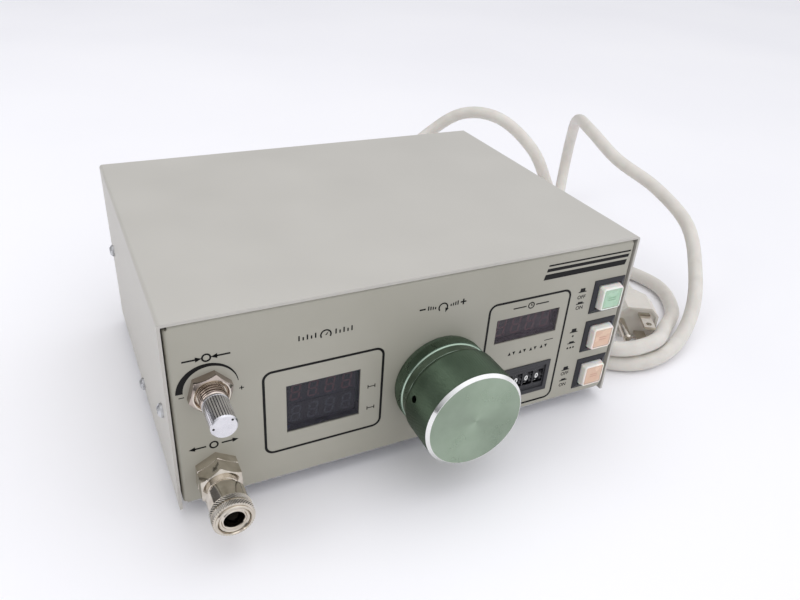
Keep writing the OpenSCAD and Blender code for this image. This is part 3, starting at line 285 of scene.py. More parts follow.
def smooth_metal(name, dark, light, gloss):
    """Plated or bare metal without lathe rings: it mirrors the room, more softly where its gloss is rough"""
    made, tree, shader = new_finish(name, Metallic=1.0)
    ground(tree, shader, (dark, light), 5, gloss, 0.4, 0.001)
    return made


def threaded(made, pitch_mm, dark):
    """A thread along Y whose grooves are painted dark as shade, a little coarser than the real one so that it
    shows
    """
    tree, shader = shader_of(made)
    place = add(tree, "TexCoord").outputs["Object"]
    turns = add(tree, "TexWave", {"Vector": place, "Scale": ring_scale(pitch_mm)}, wave_type="BANDS",
                bands_direction="Y")
    darken(tree, shader, turns.outputs["Fac"], dark)
    add_relief(tree, shader, turns.outputs["Fac"], 0.15 * MM)
    return made


def moulded_plastic(name, dark, light, gloss, grain_mm=0.35, relief_mm=0.003, **sockets):
    """Injection-moulded ABS: even colour with the faint grain of the mould"""
    made, tree, shader = new_finish(name, IOR=1.53, **sockets)
    ground(tree, shader, (dark, light), 8, gloss, grain_mm, relief_mm)
    return made


def glow(share):
    """Light that goes a little way into a pale plastic"""
    return {"Subsurface_Weight": share, "Subsurface_Scale": 0.002}


def tinted_acrylic(name, dark, light, clear):
    """Smoked acrylic sheet: a glossy dark filter that the digits show through dimly"""
    made, tree, shader = new_finish(name, IOR=1.49, Alpha=1 - clear, Coat_Weight=0.3, Coat_Roughness=0.03)
    ground(tree, shader, (dark, light), 20, (0.03, 0.08), 5, 0.001)
    return made


case_grey = baked_enamel("baked_enamel_case", "#BDBAB3", "#C1BEB7")
# Darker than the cover's enamel, in part as painted shade on the upright front, which faces away from the
# lamps
panel_grey = baked_enamel("baked_enamel_panel", "#A5A295", "#ABA89C")
zinc = smooth_metal("zinc_plate", "#B8B9BC", "#D6D7D9", (0.25, 0.38))
ink = silkscreen_ink()
knob_axis = middle_of("regulator_knob")
# The knob's side, the lock ring and the knob's face are one green anodising; their different tones are
# painted shade on the side and ring and painted light on the face
green_side = anodised_aluminium("green_anodised_side", "#465445", "#566555", (0.3, 0.42))
green_ring = anodised_aluminium("green_anodised_ring", "#68796A", "#7A8B7C", (0.2, 0.3), knob_axis)
green_face = anodised_aluminium("green_anodised_face", "#8D9C8A", "#9BA998", (0.26, 0.34), knob_axis,
                                0.28, 0.75)
# The knob face's fanned highlight is painted into its colour
fan_sheen(green_face, knob_axis, 0.12)
# A lighter green for the lock ring's chamfers: a painted highlight
green_edge_highlight = anodised_aluminium("green_anodised_edge_painted_highlight", "#9FB3A1", "#B0C2B2", (0.12, 0.2), knob_axis)
cut_edge = anodised_aluminium("bare_aluminium_cut", "#E6E6E4", "#F4F4F2", (0.08, 0.16), knob_axis)
nickel = smooth_metal("bright_nickel", "#BDB4A6", "#DAD3C8", (0.07, 0.14))
silver = smooth_metal("clear_anodised_aluminium", "#D2D1D5", "#E2E1E5", (0.2, 0.32))
# The bush's thread grooves are painted darker as shade
bush_nickel = threaded(smooth_metal("turned_nickel_bush", "#C4B7AB", "#DDD3CA", (0.14, 0.24)),
                       1.3, "#6B544A")
# The vacuum knob's flutes and the sleeve's knurl get painted shade in their grooves
fluted_silver = dark_grooves(smooth_metal("fluted_aluminium", "#D2D0D4", "#E6E5E8", (0.18, 0.28)),
                             middle_of("vacuum_knob"), 4.7, 4.9, "#454247")
knurled_nickel = dark_grooves(smooth_metal("knurled_nickel", "#CFC8BC", "#E8E2D8", (0.12, 0.2)),
                              middle_of("coupler_sleeve"), 7.85, 8.25, "#14110E")
rose_nickel = smooth_metal("nickel_on_nut", "#A0948B", "#BAAEA6", (0.1, 0.18))
brass = smooth_metal("turned_brass", "#B89B5E", "#D2B77A", (0.2, 0.35))
steel = smooth_metal("turned_steel", "#9A9A9A", "#B5B5B5", (0.25, 0.4))
# Real black oxide on the set screw; on the coupler's bore the same dark finish is painted shade
black_oxide_and_bore_shade = smooth_metal("black_oxide_steel_and_painted_bore_shade", "#1C1C1E", "#2A2A2C", (0.35, 0.5))
slate = moulded_plastic("slate_black_abs", "#0E0E17", "#14141F", (0.36, 0.46))
black = moulded_plastic("black_abs", "#17171C", "#202026", (0.28, 0.4))
white_lens = moulded_plastic("frosted_polystyrene", "#F1EEE6", "#FAF8F2", (0.18, 0.28), 0.6, 0.002,
                             **glow(0.25))
green_lens = moulded_plastic("green_polystyrene", "#A8CBAE", "#B4D3B8", (0.2, 0.3), 0.6, 0.002, **glow(0.2))
peach_lens = moulded_plastic("peach_polystyrene", "#DCB79E", "#E4C4AC", (0.2, 0.3), 0.6, 0.002, **glow(0.2))
lens_edge = moulded_plastic("lens_edge_shadow", "#9C968C", "#A8A298", (0.3, 0.4))
pale_green = moulded_plastic("pale_green_polystyrene", "#D6EEDB", "#E0F3E4", (0.2, 0.3), 0.6, 0.002)
green_mark = moulded_plastic("pad_printed_green", "#82AD8C", "#8CB595", (0.3, 0.4), 0.6, 0.002)
peach_mark = moulded_plastic("pad_printed_peach", "#C5947F", "#CD9F8A", (0.3, 0.4), 0.6, 0.002)
pale_peach = moulded_plastic("pale_peach_polystyrene", "#F6DDCD", "#FAE5D8", (0.2, 0.3), 0.6, 0.002)
pressure_glass = tinted_acrylic("smoked_acrylic_pressure", "#201E2B", "#262433", 0.6)
time_glass = tinted_acrylic("smoked_acrylic_time", "#40353F", "#493D47", 0.6)
led_block = moulded_plastic("led_block_epoxy", "#18161B", "#1F1C22", (0.35, 0.5))
led_bar = moulded_plastic("led_bar_unlit_red", "#7E424A", "#884C52", (0.3, 0.4))
led_bar_pale = moulded_plastic("led_bar_unlit_grey", "#5A5866", "#646270", (0.3, 0.4))
board_green = moulded_plastic("solder_mask_on_board", "#1D5F3A", "#287048", (0.3, 0.45), 1.2, 0.004)
dark_grey = moulded_plastic("filled_nylon", "#26262A", "#323238", (0.5, 0.65))
rubber = moulded_plastic("nitrile_rubber", "#161616", "#222222", (0.7, 0.85), 0.5, 0.01)
sheath = moulded_plastic("cord_sheath_vinyl", "#D3CEC6", "#DDD9D1", (0.42, 0.55), 1.5, 0.01, **glow(0.08))
plug_vinyl = moulded_plastic("plug_vinyl", "#D2CDC4", "#DCD7CE", (0.42, 0.55), 0.7, 0.008, **glow(0.08))
tube_blue = moulded_plastic("polyurethane_tube", "#2F5FB0", "#3A6CC0", (0.25, 0.35))
collar_blue = moulded_plastic("acetal_collar", "#22408F", "#2A4BA0", (0.3, 0.4))
lamination = smooth_metal("varnished_laminations", "#3B3835", "#54504B", (0.45, 0.6))
tape_yellow = moulded_plastic("polyester_tape", "#D8B848", "#E4C75E", (0.35, 0.5))
block_alloy = smooth_metal("clear_anodised_block", "#B4B5B9", "#C9CACD", (0.35, 0.5))
bronze = smooth_metal("sintered_bronze", "#9A7346", "#BF9560", (0.5, 0.65))
number_white = moulded_plastic("number_ink_white", "#E9E9E6", "#F4F4F1", (0.45, 0.6), 0.3, 0.002)

node_finish = {
    case_grey: ["cover"],
    panel_grey: ["front_panel", "rear_panel"],
    zinc: ["base_plate", "cover_screws", "base_screws", "regulator_screws", "foot_switch_socket"],
    rubber: ["feet", "coupler_poppet"],
    green_side: ["regulator_knob"],
    green_ring: ["lock_ring"],
    black_oxide_and_bore_shade: ["knob_set_screw"],
    steel: ["regulator_stem", "thumbwheel_shaft"],
    block_alloy: ["regulator_body", "valve_block"],
    brass: ["vacuum_stem", "board_standoffs"],
    nickel: ["vacuum_nut", "coupler_nut", "coupler_body", "coupler_sleeve", "inlet_fitting", "plug_blades"],
    silver: ["vacuum_knob"],
    bush_nickel: ["vacuum_valve_body"],
    pressure_glass: ["pressure_window"],
    time_glass: ["time_window"],
    led_block: ["pressure_digits", "time_digits"],
    board_green: ["pressure_board", "time_board", "main_board"],
    black: ["thumbwheel_housing", "thumbwheel_1", "thumbwheel_2", "thumbwheel_3", "thumbwheel_4",
            "fuse_holder", "fuse_cap"],
    slate: ["power_housing", "mode_housing", "shot_housing"],
    white_lens: ["power_button", "mode_button", "shot_button"],
    dark_grey: ["contact_blocks", "board_parts", "solenoids", "vacuum_generator"],
    lamination: ["transformer_core"],
    tape_yellow: ["transformer_winding"],
    tube_blue: ["air_tubes"],
    collar_blue: ["inlet_collar"],
    bronze: ["silencer"],
    sheath: ["cord_relief", "cord"],
    plug_vinyl: ["plug_body"],
}
for finish, names in node_finish.items():
    for name in names:
        nodes[name].data.materials.clear()
        nodes[name].data.materials.append(finish)
cord.data.materials.append(sheath)


# Making meshes
def mesh_piece(name, shape, finishes, body, face_finish=None):
    """One piece from its points and faces, in place, riding on a body"""
    points, faces = shape
    mesh = bpy.data.meshes.new(name)
    mesh.from_pydata([tuple(p) for p in points], [], faces)
    for finish in finishes:
        mesh.materials.append(finish)
    if face_finish:
        mesh.polygons.foreach_set("material_index", face_finish)
    work = bmesh.new()
    work.from_mesh(mesh)
    bmesh.ops.recalc_face_normals(work, faces=work.faces)
    work.to_mesh(mesh)
    work.free()
    mesh.update()
    piece = bpy.data.objects.new(name, mesh)
    bpy.context.scene.collection.objects.link(piece)
    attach(piece, body)
    return piece


def joined(shapes):
    """Several shapes as one list of points and one of faces"""
    points, faces = [], []
    for shape_points, shape_faces in shapes:
        start = len(points)
        points += shape_points
        faces += [[start + i for i in face] for face in shape_faces]
    return points, faces


def slab(outline, y_front, y_back):
    """A flat shape from its outline, which is a list of (x, z), closed all round"""
    n = len(outline)
    points = [Vector((x, y, z)) for y in (y_front, y_back) for x, z in outline]
    faces = [list(range(n)), list(range(2 * n - 1, n - 1, -1))]
    faces += [[i, i + n, (i + 1) % n + n, (i + 1) % n] for i in range(n)]
    return points, faces


def band(inner, outer, y_front, y_back, closed=True):
    """A flat band between two outlines with as many points"""
    n = len(inner)
    rows = [[Vector((x, y, z)) for x, z in line] for y in (y_front, y_back) for line in (inner, outer)]
    points = [p for row in rows for p in row]
    faces = []
    for i in range(n if closed else n - 1):
        j = (i + 1) % n
        for a, b in ((0, 1), (1, 3), (3, 2), (2, 0)):
            faces.append([a * n + i, a * n + j, b * n + j, b * n + i])
    if not closed:
        faces += [[0, n, 3 * n, 2 * n], [n - 1, 2 * n - 1, 4 * n - 1, 3 * n - 1]]
    return points, faces


def rectangle(x0, x1, z0, z1):
    return [(x0, z0), (x1, z0), (x1, z1), (x0, z1)]


def around(cx, cz, r, deg):
    """Point of a circle at an angle"""
    a = math.radians(deg)
    return cx + r * math.cos(a), cz + r * math.sin(a)


def rounded_box(x0, x1, z0, z1, r, steps=8):
    """Outline of a rectangle with round corners"""
    corners = ((x1 - r, z1 - r, 0), (x0 + r, z1 - r, 90), (x0 + r, z0 + r, 180), (x1 - r, z0 + r, 270))
    return [around(cx, cz, r, start + 90 * k / steps) for cx, cz, start in corners for k in range(steps + 1)]


def ring_points(cx, cz, r, count):
    """Points of a whole circle"""
    return [around(cx, cz, r, 360 * i / count) for i in range(count)]


# The panel's printed marks, in millimetres from the middle of the case and from the cover's lower edge
panel_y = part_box("front_panel")[0].y
case_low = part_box("cover")[0].z
ink_t = 0.04 * MM


def on_panel(outline_mm):
    """Outline on the panel, in metres"""
    return [(x * MM, case_low + z * MM) for x, z in outline_mm]


def ink_slab(outline_mm):
    return slab(on_panel(outline_mm), panel_y - ink_t, panel_y)


def ink_bar(x0, x1, z0, z1):
    return ink_slab(rectangle(x0, x1, z0, z1))


def ink_line(x0, x1, z, line):
    """Level line between two places"""
    return ink_bar(min(x0, x1), max(x0, x1), z - line / 2, z + line / 2)


def ink_upright(x, z0, z1, line):
    """Upright line between two heights"""
    return ink_bar(x - line / 2, x + line / 2, z0, z1)


def ink_frame(x0, x1, z0, z1, r, line):
    """Rounded frame whose line runs along the middle of the given rectangle"""
    h = line / 2
    return band(on_panel(rounded_box(x0 + h, x1 - h, z0 + h, z1 - h, r - h)),
                on_panel(rounded_box(x0 - h, x1 + h, z0 - h, z1 + h, r + h)), panel_y - ink_t, panel_y)


def ink_arc(cx, cz, r, from_deg, to_deg, line_from, line_to, steps=40):
    """Arc whose line changes its width from one end to the other"""
    inner, outer = [], []
    for k in range(steps + 1):
        t = k / steps
        deg = from_deg + (to_deg - from_deg) * t
        h = (line_from + (line_to - line_from) * t) / 2
        inner.append(around(cx, cz, r - h, deg))
        outer.append(around(cx, cz, r + h, deg))
    return band(on_panel(inner), on_panel(outer), panel_y - ink_t, panel_y, closed=False)


def ink_ring(cx, cz, r, line):
    """Ring whose ends all but meet"""
    return ink_arc(cx, cz, r, 0, 359.9, line, line)


def ink_arrow(x, z, size, deg):
    """Small solid triangle that points along an angle"""
    tip = [(1, 0), (-0.7, 0.75), (-0.7, -0.75)]
    c, s = math.cos(math.radians(deg)), math.sin(math.radians(deg))
    return ink_slab([(x + size * (u * c - v * s), z + size * (u * s + v * c)) for u, v in tip])


# Frames round the two displays, each as the left, right, lower and upper middle of its line
frame_line = 1.1
frame_corner = 3.6
pressure_frame = (-71.7, -20.7, 16.9, 57.6)
time_frame = (29.8, 73.3, 5.2, 66.5)
frames = [ink_frame(*edges, frame_corner, frame_line) for edges in (pressure_frame, time_frame)]
mesh_piece("printed_frames", joined(frames), [ink], "case")


# Plain pictograms, placed by their middles
def minus_or_plus(x, z, reach, line, plus):
    parts = [ink_line(x - reach, x + reach, z, line)]
    if plus:
        parts.append(ink_upright(x, z - reach, z + reach, line))
    return parts


def vacuum_scale(x, z):
    """Arc over the vacuum knob that tapers from its minus to its plus"""
    line = 0.4
    parts = [ink_arc(x, z, 11.0, 178, 6, 2.7, 0.25)]
    parts += minus_or_plus(x - 10.3, z - 1.3, 1.0, line, False)
    parts += minus_or_plus(x + 12.0, z - 2.7, 0.9, line, True)
    return parts


def flow_sign(x, z, reach, towards):
    """A ring between two lines, with arrow heads that point to it or away from it"""
    line = 0.7
    parts = [ink_ring(x, z, 1.5, line)]
    for side in (-1, 1):
        near, end = x + side * 3.0, x + side * reach
        head = near if towards else end
        parts.append(ink_line(near, end, z, line))
        parts.append(ink_arrow(head, z, 1.45, 180 if (side < 0) != towards else 0))
    return parts


def gauge_sign(x, z, reach):
    """Gauge between two rows of ticks"""
    arc_line, tick_line, ticks = 0.65, 0.6, 5
    parts = [ink_arc(x, z - 0.6, 2.1, -30, 210, arc_line, arc_line)]
    parts.append(ink_slab([(x - 0.4, z - 0.8), (x + 0.4, z - 0.8), (x + 1.2, z + 0.9)]))
    for side in (-1, 1):
        for k in range(ticks):
            out = 4.2 + k * (reach - 4.6) / (ticks - 1)
            parts.append(ink_upright(x + side * out, z - 1.1, z + (1.2 if k % 2 == 0 else 0.4), tick_line))
    return parts


def turn_sign(x, z):
    """A turning arrow between ticks that rise outwards, with a minus and a plus beside them"""
    arc_line, tick_line, sign_line, sign_up = 0.65, 0.56, 0.7, 0.85
    parts = [ink_arc(x, z, 2.0, -40, 220, arc_line, arc_line), ink_arrow(x + 1.6, z - 1.4, 1.2, 250)]
    parts += minus_or_plus(x - 9.75, z + sign_up, 1.4, sign_line, False)
    parts += minus_or_plus(x + 9.65, z + sign_up, 1.4, sign_line, True)
    for k in range(1, 5):
        for side in (-1, 1):
            parts.append(ink_upright(x + side * (2.6 + k * 1.1), z - 0.1, z + 0.7 + 0.3 * k, tick_line))
    return parts


def clock_sign(x, z):
    """Clock face between two lines"""
    hand, line = 0.4, 0.6
    parts = [ink_ring(x, z, 1.5, 0.55), ink_upright(x, z, z + 1.0, hand), ink_line(x - 0.2, x + 0.9, z, hand)]
    for side in (-1, 1):
        parts.append(ink_line(x + side * 2.6, x + side * 9.6, z, line))
    return parts


def wheel_arrows(x, z):
    """An arrow up and an arrow down over a thumbwheel"""
    return [ink_arrow(x - 1.2, z, 1.1, 90), ink_arrow(x + 1.2, z + 0.2, 1.1, 270)]


def span_sign(x, z):
    """A line with a stop at each end"""
    reach, line = 1.8, 0.4
    parts = [ink_line(x - reach, x + reach, z, line)]
    for side in (-1, 1):
        parts.append(ink_upright(x + side * (reach - line / 2), z - 0.9, z + 0.9, line))
    return parts


def button_sign(x, z, cap_h):
    """A button drawn from the side: its cap on a base line"""
    foot = z - 0.4
    cap = [(x - 1.5, foot), (x + 1.5, foot), (x + 1.3, foot + cap_h), (x - 1.3, foot + cap_h)]
    return [ink_bar(x - 2.3, x + 2.3, foot - 0.5, foot), ink_slab(cap)]


def slanted_bars(x0, x1):
    """Three bars of falling thickness at the panel's top right"""
    parts = []
    for z, thick in ((74.3, 2.7), (78.2, 1.6), (80.9, 0.8)):
        lean = (z - 74) / 4
        top_lean = lean + thick / 4
        parts.append(ink_slab([(x0 + lean, z), (x1 + lean, z), (x1 + top_lean, z + thick),
                               (x0 + top_lean, z + thick)]))
    return parts


legend_x = 80.3
legend_step = 22.3
raised_z, pressed_z = 64.4, 58.0
first_wheel_x = 45.3
wheel_pitch = 6
marks = vacuum_scale(-92.1, 56.4)
marks += flow_sign(-92.2, 70.7, 8.8, True)
marks += flow_sign(-92.3, 29.2, 8.3, False)
marks += gauge_sign(-46.2, 70.5, 11.3)
marks += turn_sign(5.7, 71.2)
marks += clock_sign(51.8, 62.5)
for k in range(4):
    marks += wheel_arrows(first_wheel_x + k * wheel_pitch, 37.6)
marks.append(ink_line(63.2, 68.2, 40.8, 0.4))
for z in (39.0, 27.6):
    marks += span_sign(-25.5, z)
for k in range(3):
    marks += button_sign(legend_x, raised_z - k * legend_step, 1.7)
    marks += button_sign(legend_x, pressed_z - k * legend_step, 0.8)
marks += slanted_bars(56, 102.4)
mesh_piece("printed_marks", joined(marks), [ink], "case")


def letters(text, size, depth, bold):
    """Points and faces of a short text that faces the viewer, centred on zero"""
    curve = bpy.data.curves.new("text", "FONT")
    curve.body = text
    curve.offset = bold
    curve.size = size
    curve.extrude = depth / 2
    curve.align_x = "CENTER"
    curve.align_y = "CENTER"
    curve.resolution_u = 4
    drawn = bpy.data.objects.new("text", curve)
    bpy.context.scene.collection.objects.link(drawn)
    bpy.context.view_layer.update()
    mesh = bpy.data.meshes.new_from_object(drawn)
    across = [v.co.x for v in mesh.vertices]
    upward = [v.co.y for v in mesh.vertices]
    mid_x, mid_y = (min(across) + max(across)) / 2, (min(upward) + max(upward)) / 2
    points = [Vector((v.co.x - mid_x, -v.co.z, v.co.y - mid_y)) for v in mesh.vertices]
    faces = [list(f.vertices) for f in mesh.polygons]
    bpy.data.objects.remove(drawn)
    bpy.data.curves.remove(curve)
    bpy.data.meshes.remove(mesh)
    return points, faces


# ON and OFF beside the first and the third button, dots beside the second
word_size = 2.7 * MM
word_bold = 0.05 * MM
words = []
for text, row, z in (("OFF", 0, 61.0), ("ON", 0, 55.2), ("OFF", 2, 61.6), ("ON", 2, 54.7)):
    at = Vector((legend_x * MM, panel_y - ink_t / 2, case_low + (z - row * legend_step) * MM))
    points, faces = letters(text, word_size, ink_t, word_bold)
    words.append(([p + at for p in points], faces))
dot_r = 0.56
dot_pitch = 1.7
for dot_z, count in ((39.1, 1), (32.4, 3)):
    for k in range(count):
        words.append(ink_slab(ring_points(legend_x + (k - (count - 1) / 2) * dot_pitch, dot_z, dot_r, 16)))
mesh_piece("switch_words", joined(words), [ink], "case")


# Unlit seven-segment digits behind the windows
segment_line = 0.85 * MM
segment_lean = 0.15


def digit_bars(wide, high, bar):
    """Outlines of the seven bars of one digit and of its point, centred on zero"""
    half_w, half_h = (wide - bar) / 2, (high - bar) / 2
    gap = bar * 0.2
    tip = bar / 2
    bars = []
    for z in (-half_h, 0, half_h):
        a, b = -half_w + gap, half_w - gap
        bars.append([(a, z), (a + tip, z - tip), (b - tip, z - tip), (b, z), (b - tip, z + tip),
                     (a + tip, z + tip)])
    for x in (-half_w, half_w):
        for low, high_end in ((-half_h, 0), (0, half_h)):
            a, b = low + gap, high_end - gap
            bars.append([(x, a), (x + tip, a + tip), (x + tip, b - tip), (x, b), (x - tip, b - tip),
                         (x - tip, a + tip)])
    bars.append(ring_points(half_w + bar * 1.3, -half_h, bar * 0.45, 12))
    return [[(x + z * segment_lean, z) for x, z in outline] for outline in bars]


def digit_row(name, block, z, pitch, wide, high, finish):
    """Four digits on the face of a display block"""
    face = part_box(block)[0].y
    middle = middle_of(block)
    shapes = []
    for k in range(4):
        x = middle.x + (k - 1.5) * pitch
        for outline in digit_bars(wide, high, segment_line):
            shapes.append(slab([(x + u, z + v) for u, v in outline], face - 0.06 * MM, face))
    mesh_piece(name, joined(shapes), [finish], "case")


pressure_low, pressure_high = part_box("pressure_digits")
quarter = (pressure_high.z - pressure_low.z) / 4
pressure_digit = (7.4 * MM, 4.3 * MM, 8 * MM)
time_digit = (8.1 * MM, 4.8 * MM, 9.4 * MM)
digit_row("pressure_segments_low", "pressure_digits", pressure_low.z + quarter, *pressure_digit, led_bar_pale)
digit_row("pressure_segments_high", "pressure_digits", pressure_high.z - quarter, *pressure_digit, led_bar)
digit_row("time_segments", "time_digits", middle_of("time_digits").z, *time_digit, led_bar)


# Numbers round each thumbwheel
def wheel_numbers(index):
    name = f"thumbwheel_{index}"
    low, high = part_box(name)
    middle = (low + high) / 2
    tooth_deep, number_in, number_t = 0.7 * MM, 1.6 * MM, 0.06 * MM
    number_r = (high.z - low.z) / 2 - tooth_deep
    at = Vector((low.x + number_in, middle.y, middle.z))
    out = Vector((0, -number_r - 0.02 * MM, 0))
    shapes = []
    for number in range(10):
        points, faces = letters(str(number), 3.8 * MM, number_t, 0.12 * MM)
        turn = Matrix.Rotation(math.radians(36 * number), 4, "X")
        shapes.append(([turn @ (p + out) + at for p in points], faces))
    mesh_piece(f"wheel_numbers_{index}", joined(shapes), [number_white], name)


for index in range(1, 5):
    wheel_numbers(index)


# Turned pieces, from rows of radii along an axis
near_axis = 0.01 * MM


def turned_shape(rows, axis):
    """A piece turned about an axis along Y. Each row is (y, radii), all with as many radii"""
    count = len(rows[0][1])
    points = []
    for y, radii in rows:
        for i, r in enumerate(radii):
            a = 2 * math.pi * i / count
            points.append(Vector((axis.x + r * math.cos(a), y, axis.z + r * math.sin(a))))
    faces, rows_of = [], []
    for j in range(len(rows) - 1):
        here, after = rows[j][1], rows[j + 1][1]
        level = len(set(here)) == 1 and len(set(after)) == 1
        for i in range(count):
            i2 = (i + 1) % count
            a, b, c, d = j * count + i, j * count + i2, (j + 1) * count + i2, (j + 1) * count + i
            if level:
                faces.append([a, b, c, d])
                rows_of.append(j)
            else:
                groove_ac = here[i] + after[i2] < here[i2] + after[i]
                faces += [[a, b, c], [a, c, d]] if groove_ac else [[a, b, d], [b, c, d]]
                rows_of += [j, j]
    for row in (0, len(rows) - 1):
        faces.append([row * count + i for i in range(count)])
        rows_of.append(row if row == 0 else row - 1)
    return (points, faces), rows_of


def turned_ring(rows, axis):
    """A turned piece with a bore right through it, whose last row joins its first"""
    (points, faces), rows_of = turned_shape(rows, axis)
    count, last = len(rows[0][1]), len(rows) - 1
    start = last * count
    faces = faces[:-2] + [[i, (i + 1) % count, start + (i + 1) % count, start + i] for i in range(count)]
    return (points, faces), rows_of[:-2] + [last] * count


def size_of(node):
    """Radius, front and rear of a turned solid"""
    low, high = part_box(node)
    return (high.x - low.x) / 2, low.y, high.y


def stepped(r, y, steps_mm):
    """Places of a profile in millimetres inwards of a radius and behind a face"""
    return [(r - inwards * MM, y + behind * MM) for inwards, behind in steps_mm]


def plain_rows(profile, count):
    return [(y, [r] * count) for r, y in profile]


def knurl_rows(r, depth, y0, y1, count, tooth, lean):
    """Teeth on the slant. A tooth's shares of the depth repeat round a row and move on with each row"""
    rows = max(2, round((y1 - y0) / (2 * math.pi * r / count)))
    wide = len(tooth)
    return [(y0 + (y1 - y0) * j / rows, [r - depth * tooth[(i + lean * j) % wide] for i in range(count)])
            for j in range(rows + 1)]


def straight_rows(r, depth, y0, y1, count, groove, every):
    """Straight teeth along the axis: in each few points, as many as the groove lie deeper"""
    radii = [r - depth * (i % every < groove) for i in range(count)]
    return [(y0, radii), (y1, radii)]


def hexagon(flats, count, turn=0.0):
    """Radii of a hexagon with a corner on top"""
    sixth = math.pi / 3
    return [flats / 2 / math.cos((2 * math.pi * i / count + turn - sixth / 2) % sixth - sixth / 2)
            for i in range(count)]


def hex_rows(flats, y0, y1, r_front, slope, count, turn=0.0):
    """A hexagon whose front edge is turned off on the slant"""
    full = hexagon(flats, count, turn)
    deep = (max(full) - r_front) / slope
    rows = [(y0 + deep * k / 8, [min(r, r_front + deep * k / 8 * slope) for r in full]) for k in range(9)]
    return rows + [(y1, full)]


# The regulator's knob: a turned face, a bright chamfer and a knurled side
def make_knob():
    r, y0, y1 = size_of("regulator_knob")
    count = 352
    chamfer, knurl_deep = 1.3 * MM, 0.14 * MM
    hollow_r, hollow_deep = r - 6 * MM, 3.5 * MM
    hub_r, hub_in = 8 * MM, 1 * MM
    bore_r, face_thick = 4.05 * MM, 5 * MM
    front = [(near_axis, y0), (r * 0.5, y0), (r - chamfer - 0.15 * MM, y0), (r - chamfer, y0 + 0.05 * MM),
             (r - 0.1 * MM, y0 + chamfer - 0.05 * MM)]
    rear = stepped(r, y1, [(0.1, -1.3), (0.1, -0.6), (0.55, 0)])
    rear += [(hollow_r, y1), (hollow_r, y1 - hollow_deep), (hub_r, y1 - hollow_deep), (hub_r, y1 - hub_in),
             (bore_r, y1 - hub_in), (bore_r, y0 + face_thick), (near_axis, y0 + face_thick)]
    rows = plain_rows(front, count)
    rows += knurl_rows(r, knurl_deep, y0 + chamfer + 0.1 * MM, y1 - 1.5 * MM, count, (0, 1), 1)
    rows += plain_rows(rear, count)
    shape, rows_of = turned_shape(rows, knob_axis)
    face_end, chamfer_end = 2, 4
    picks = [0 if row < face_end else 1 if row < chamfer_end else 2 for row in rows_of]
    knob = mesh_piece("knurled_knob", shape, [green_face, cut_edge, green_side], "regulator_knob",
                      picks)
    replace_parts(knob, "regulator_knob")
    return knob


def drill(piece, start, way, r, length):
    """Cuts a round hole into a piece"""
    work = bmesh.new()
    bmesh.ops.create_cone(work, cap_ends=True, segments=32, radius1=r, radius2=r, depth=length)
    mesh = bpy.data.meshes.new("drill")
    work.to_mesh(mesh)
    work.free()
    cutter = bpy.data.objects.new("drill", mesh)
    bpy.context.scene.collection.objects.link(cutter)
    turn = way.to_track_quat("Z", "Y").to_matrix().to_4x4()
    cutter.matrix_world = Matrix.Translation(start + way * length / 2) @ turn
    cut = piece.modifiers.new("hole", "BOOLEAN")
    cut.object = cutter
    cut.operation = "DIFFERENCE"
    cut.solver = "EXACT"
    bpy.context.view_layer.update()
    graph = bpy.context.evaluated_depsgraph_get()
    result = bpy.data.meshes.new_from_object(piece.evaluated_get(graph))
    piece.modifiers.clear()
    old = piece.data
    piece.data = result
    result.name = piece.name
    bpy.data.meshes.remove(old)
    bpy.data.objects.remove(cutter)


def drill_set_screw_hole(knob):
    """The hole in the knob's side over its set screw"""
    screw = middle_of("knob_set_screw")
    hole_r, hole_from_mm, hole_long = 1.6 * MM, 9, 20 * MM
    outward = Vector((screw.x - knob_axis.x, 0, screw.z - knob_axis.z)).normalized()
    start = Vector((knob_axis.x, screw.y, knob_axis.z)) + outward * hole_from_mm * MM
    drill(knob, start, outward, hole_r, hole_long)


# The lock ring behind the knob: a turned step, two chamfers painted lighter as highlights, and a toothed edge
def make_lock_ring():
    r, y0, y1 = size_of("lock_ring")
    bore, recess, recess_y = 12.6 * MM, 19.5 * MM, y1 - 2.3 * MM
    count = 360
    front = stepped(r, y0, [(1.2, 0), (0.75, 0.4), (0.75, 3.9), (1.0, 4.1), (1.0, 4.4), (0.5, 4.75),
                            (0.5, 5.0)])
    rear = stepped(r, y1, [(0.4, -1.9), (0.6, -1.6), (0.6, 0)])
    rows = plain_rows([(bore, recess_y), (bore, y0)] + front, count)
    rows += straight_rows(r, 0.35 * MM, y0 + 5.1 * MM, y1 - 2 * MM, count, 1, 2)
    rows += plain_rows(rear + [(recess, y1), (recess, recess_y)], count)
    shape, rows_of = turned_ring(rows, middle_of("lock_ring"))
    # Rows of the two chamfers, which take the painted highlight
    highlight_rows = (2, 6)
    ring = mesh_piece("toothed_lock_ring", shape, [green_ring, green_edge_highlight], "lock_ring",
                      [int(row in highlight_rows) for row in rows_of])
    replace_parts(ring, "lock_ring")


# The vacuum valve's fluted knob and its nut
def make_vacuum_knob():
    r, y0, y1 = size_of("vacuum_knob")
    bore, collar, end_thick = 1.85 * MM, 1.0 * MM, 3 * MM
    count = 288
    rows = plain_rows([(near_axis, y0)] + stepped(r, y0, [(0.6, 0), (0.15, 0.6)]), count)
    rows += straight_rows(r - 0.1 * MM, 0.3 * MM, y0 + 0.65 * MM, y1 - collar, count, 2, 9)
    rows += plain_rows(stepped(r, y1, [(0, -0.9), (0, -0.5), (0.5, 0)]), count)
    rows += plain_rows([(bore, y1), (bore, y0 + end_thick), (near_axis, y0 + end_thick)], count)
    shape, rows_of = turned_shape(rows, middle_of("vacuum_knob"))
    knob = mesh_piece("fluted_knob", shape, [silver, fluted_silver], "vacuum_knob",
                      [int(2 <= row <= 4) for row in rows_of])
    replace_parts(knob, "vacuum_knob")


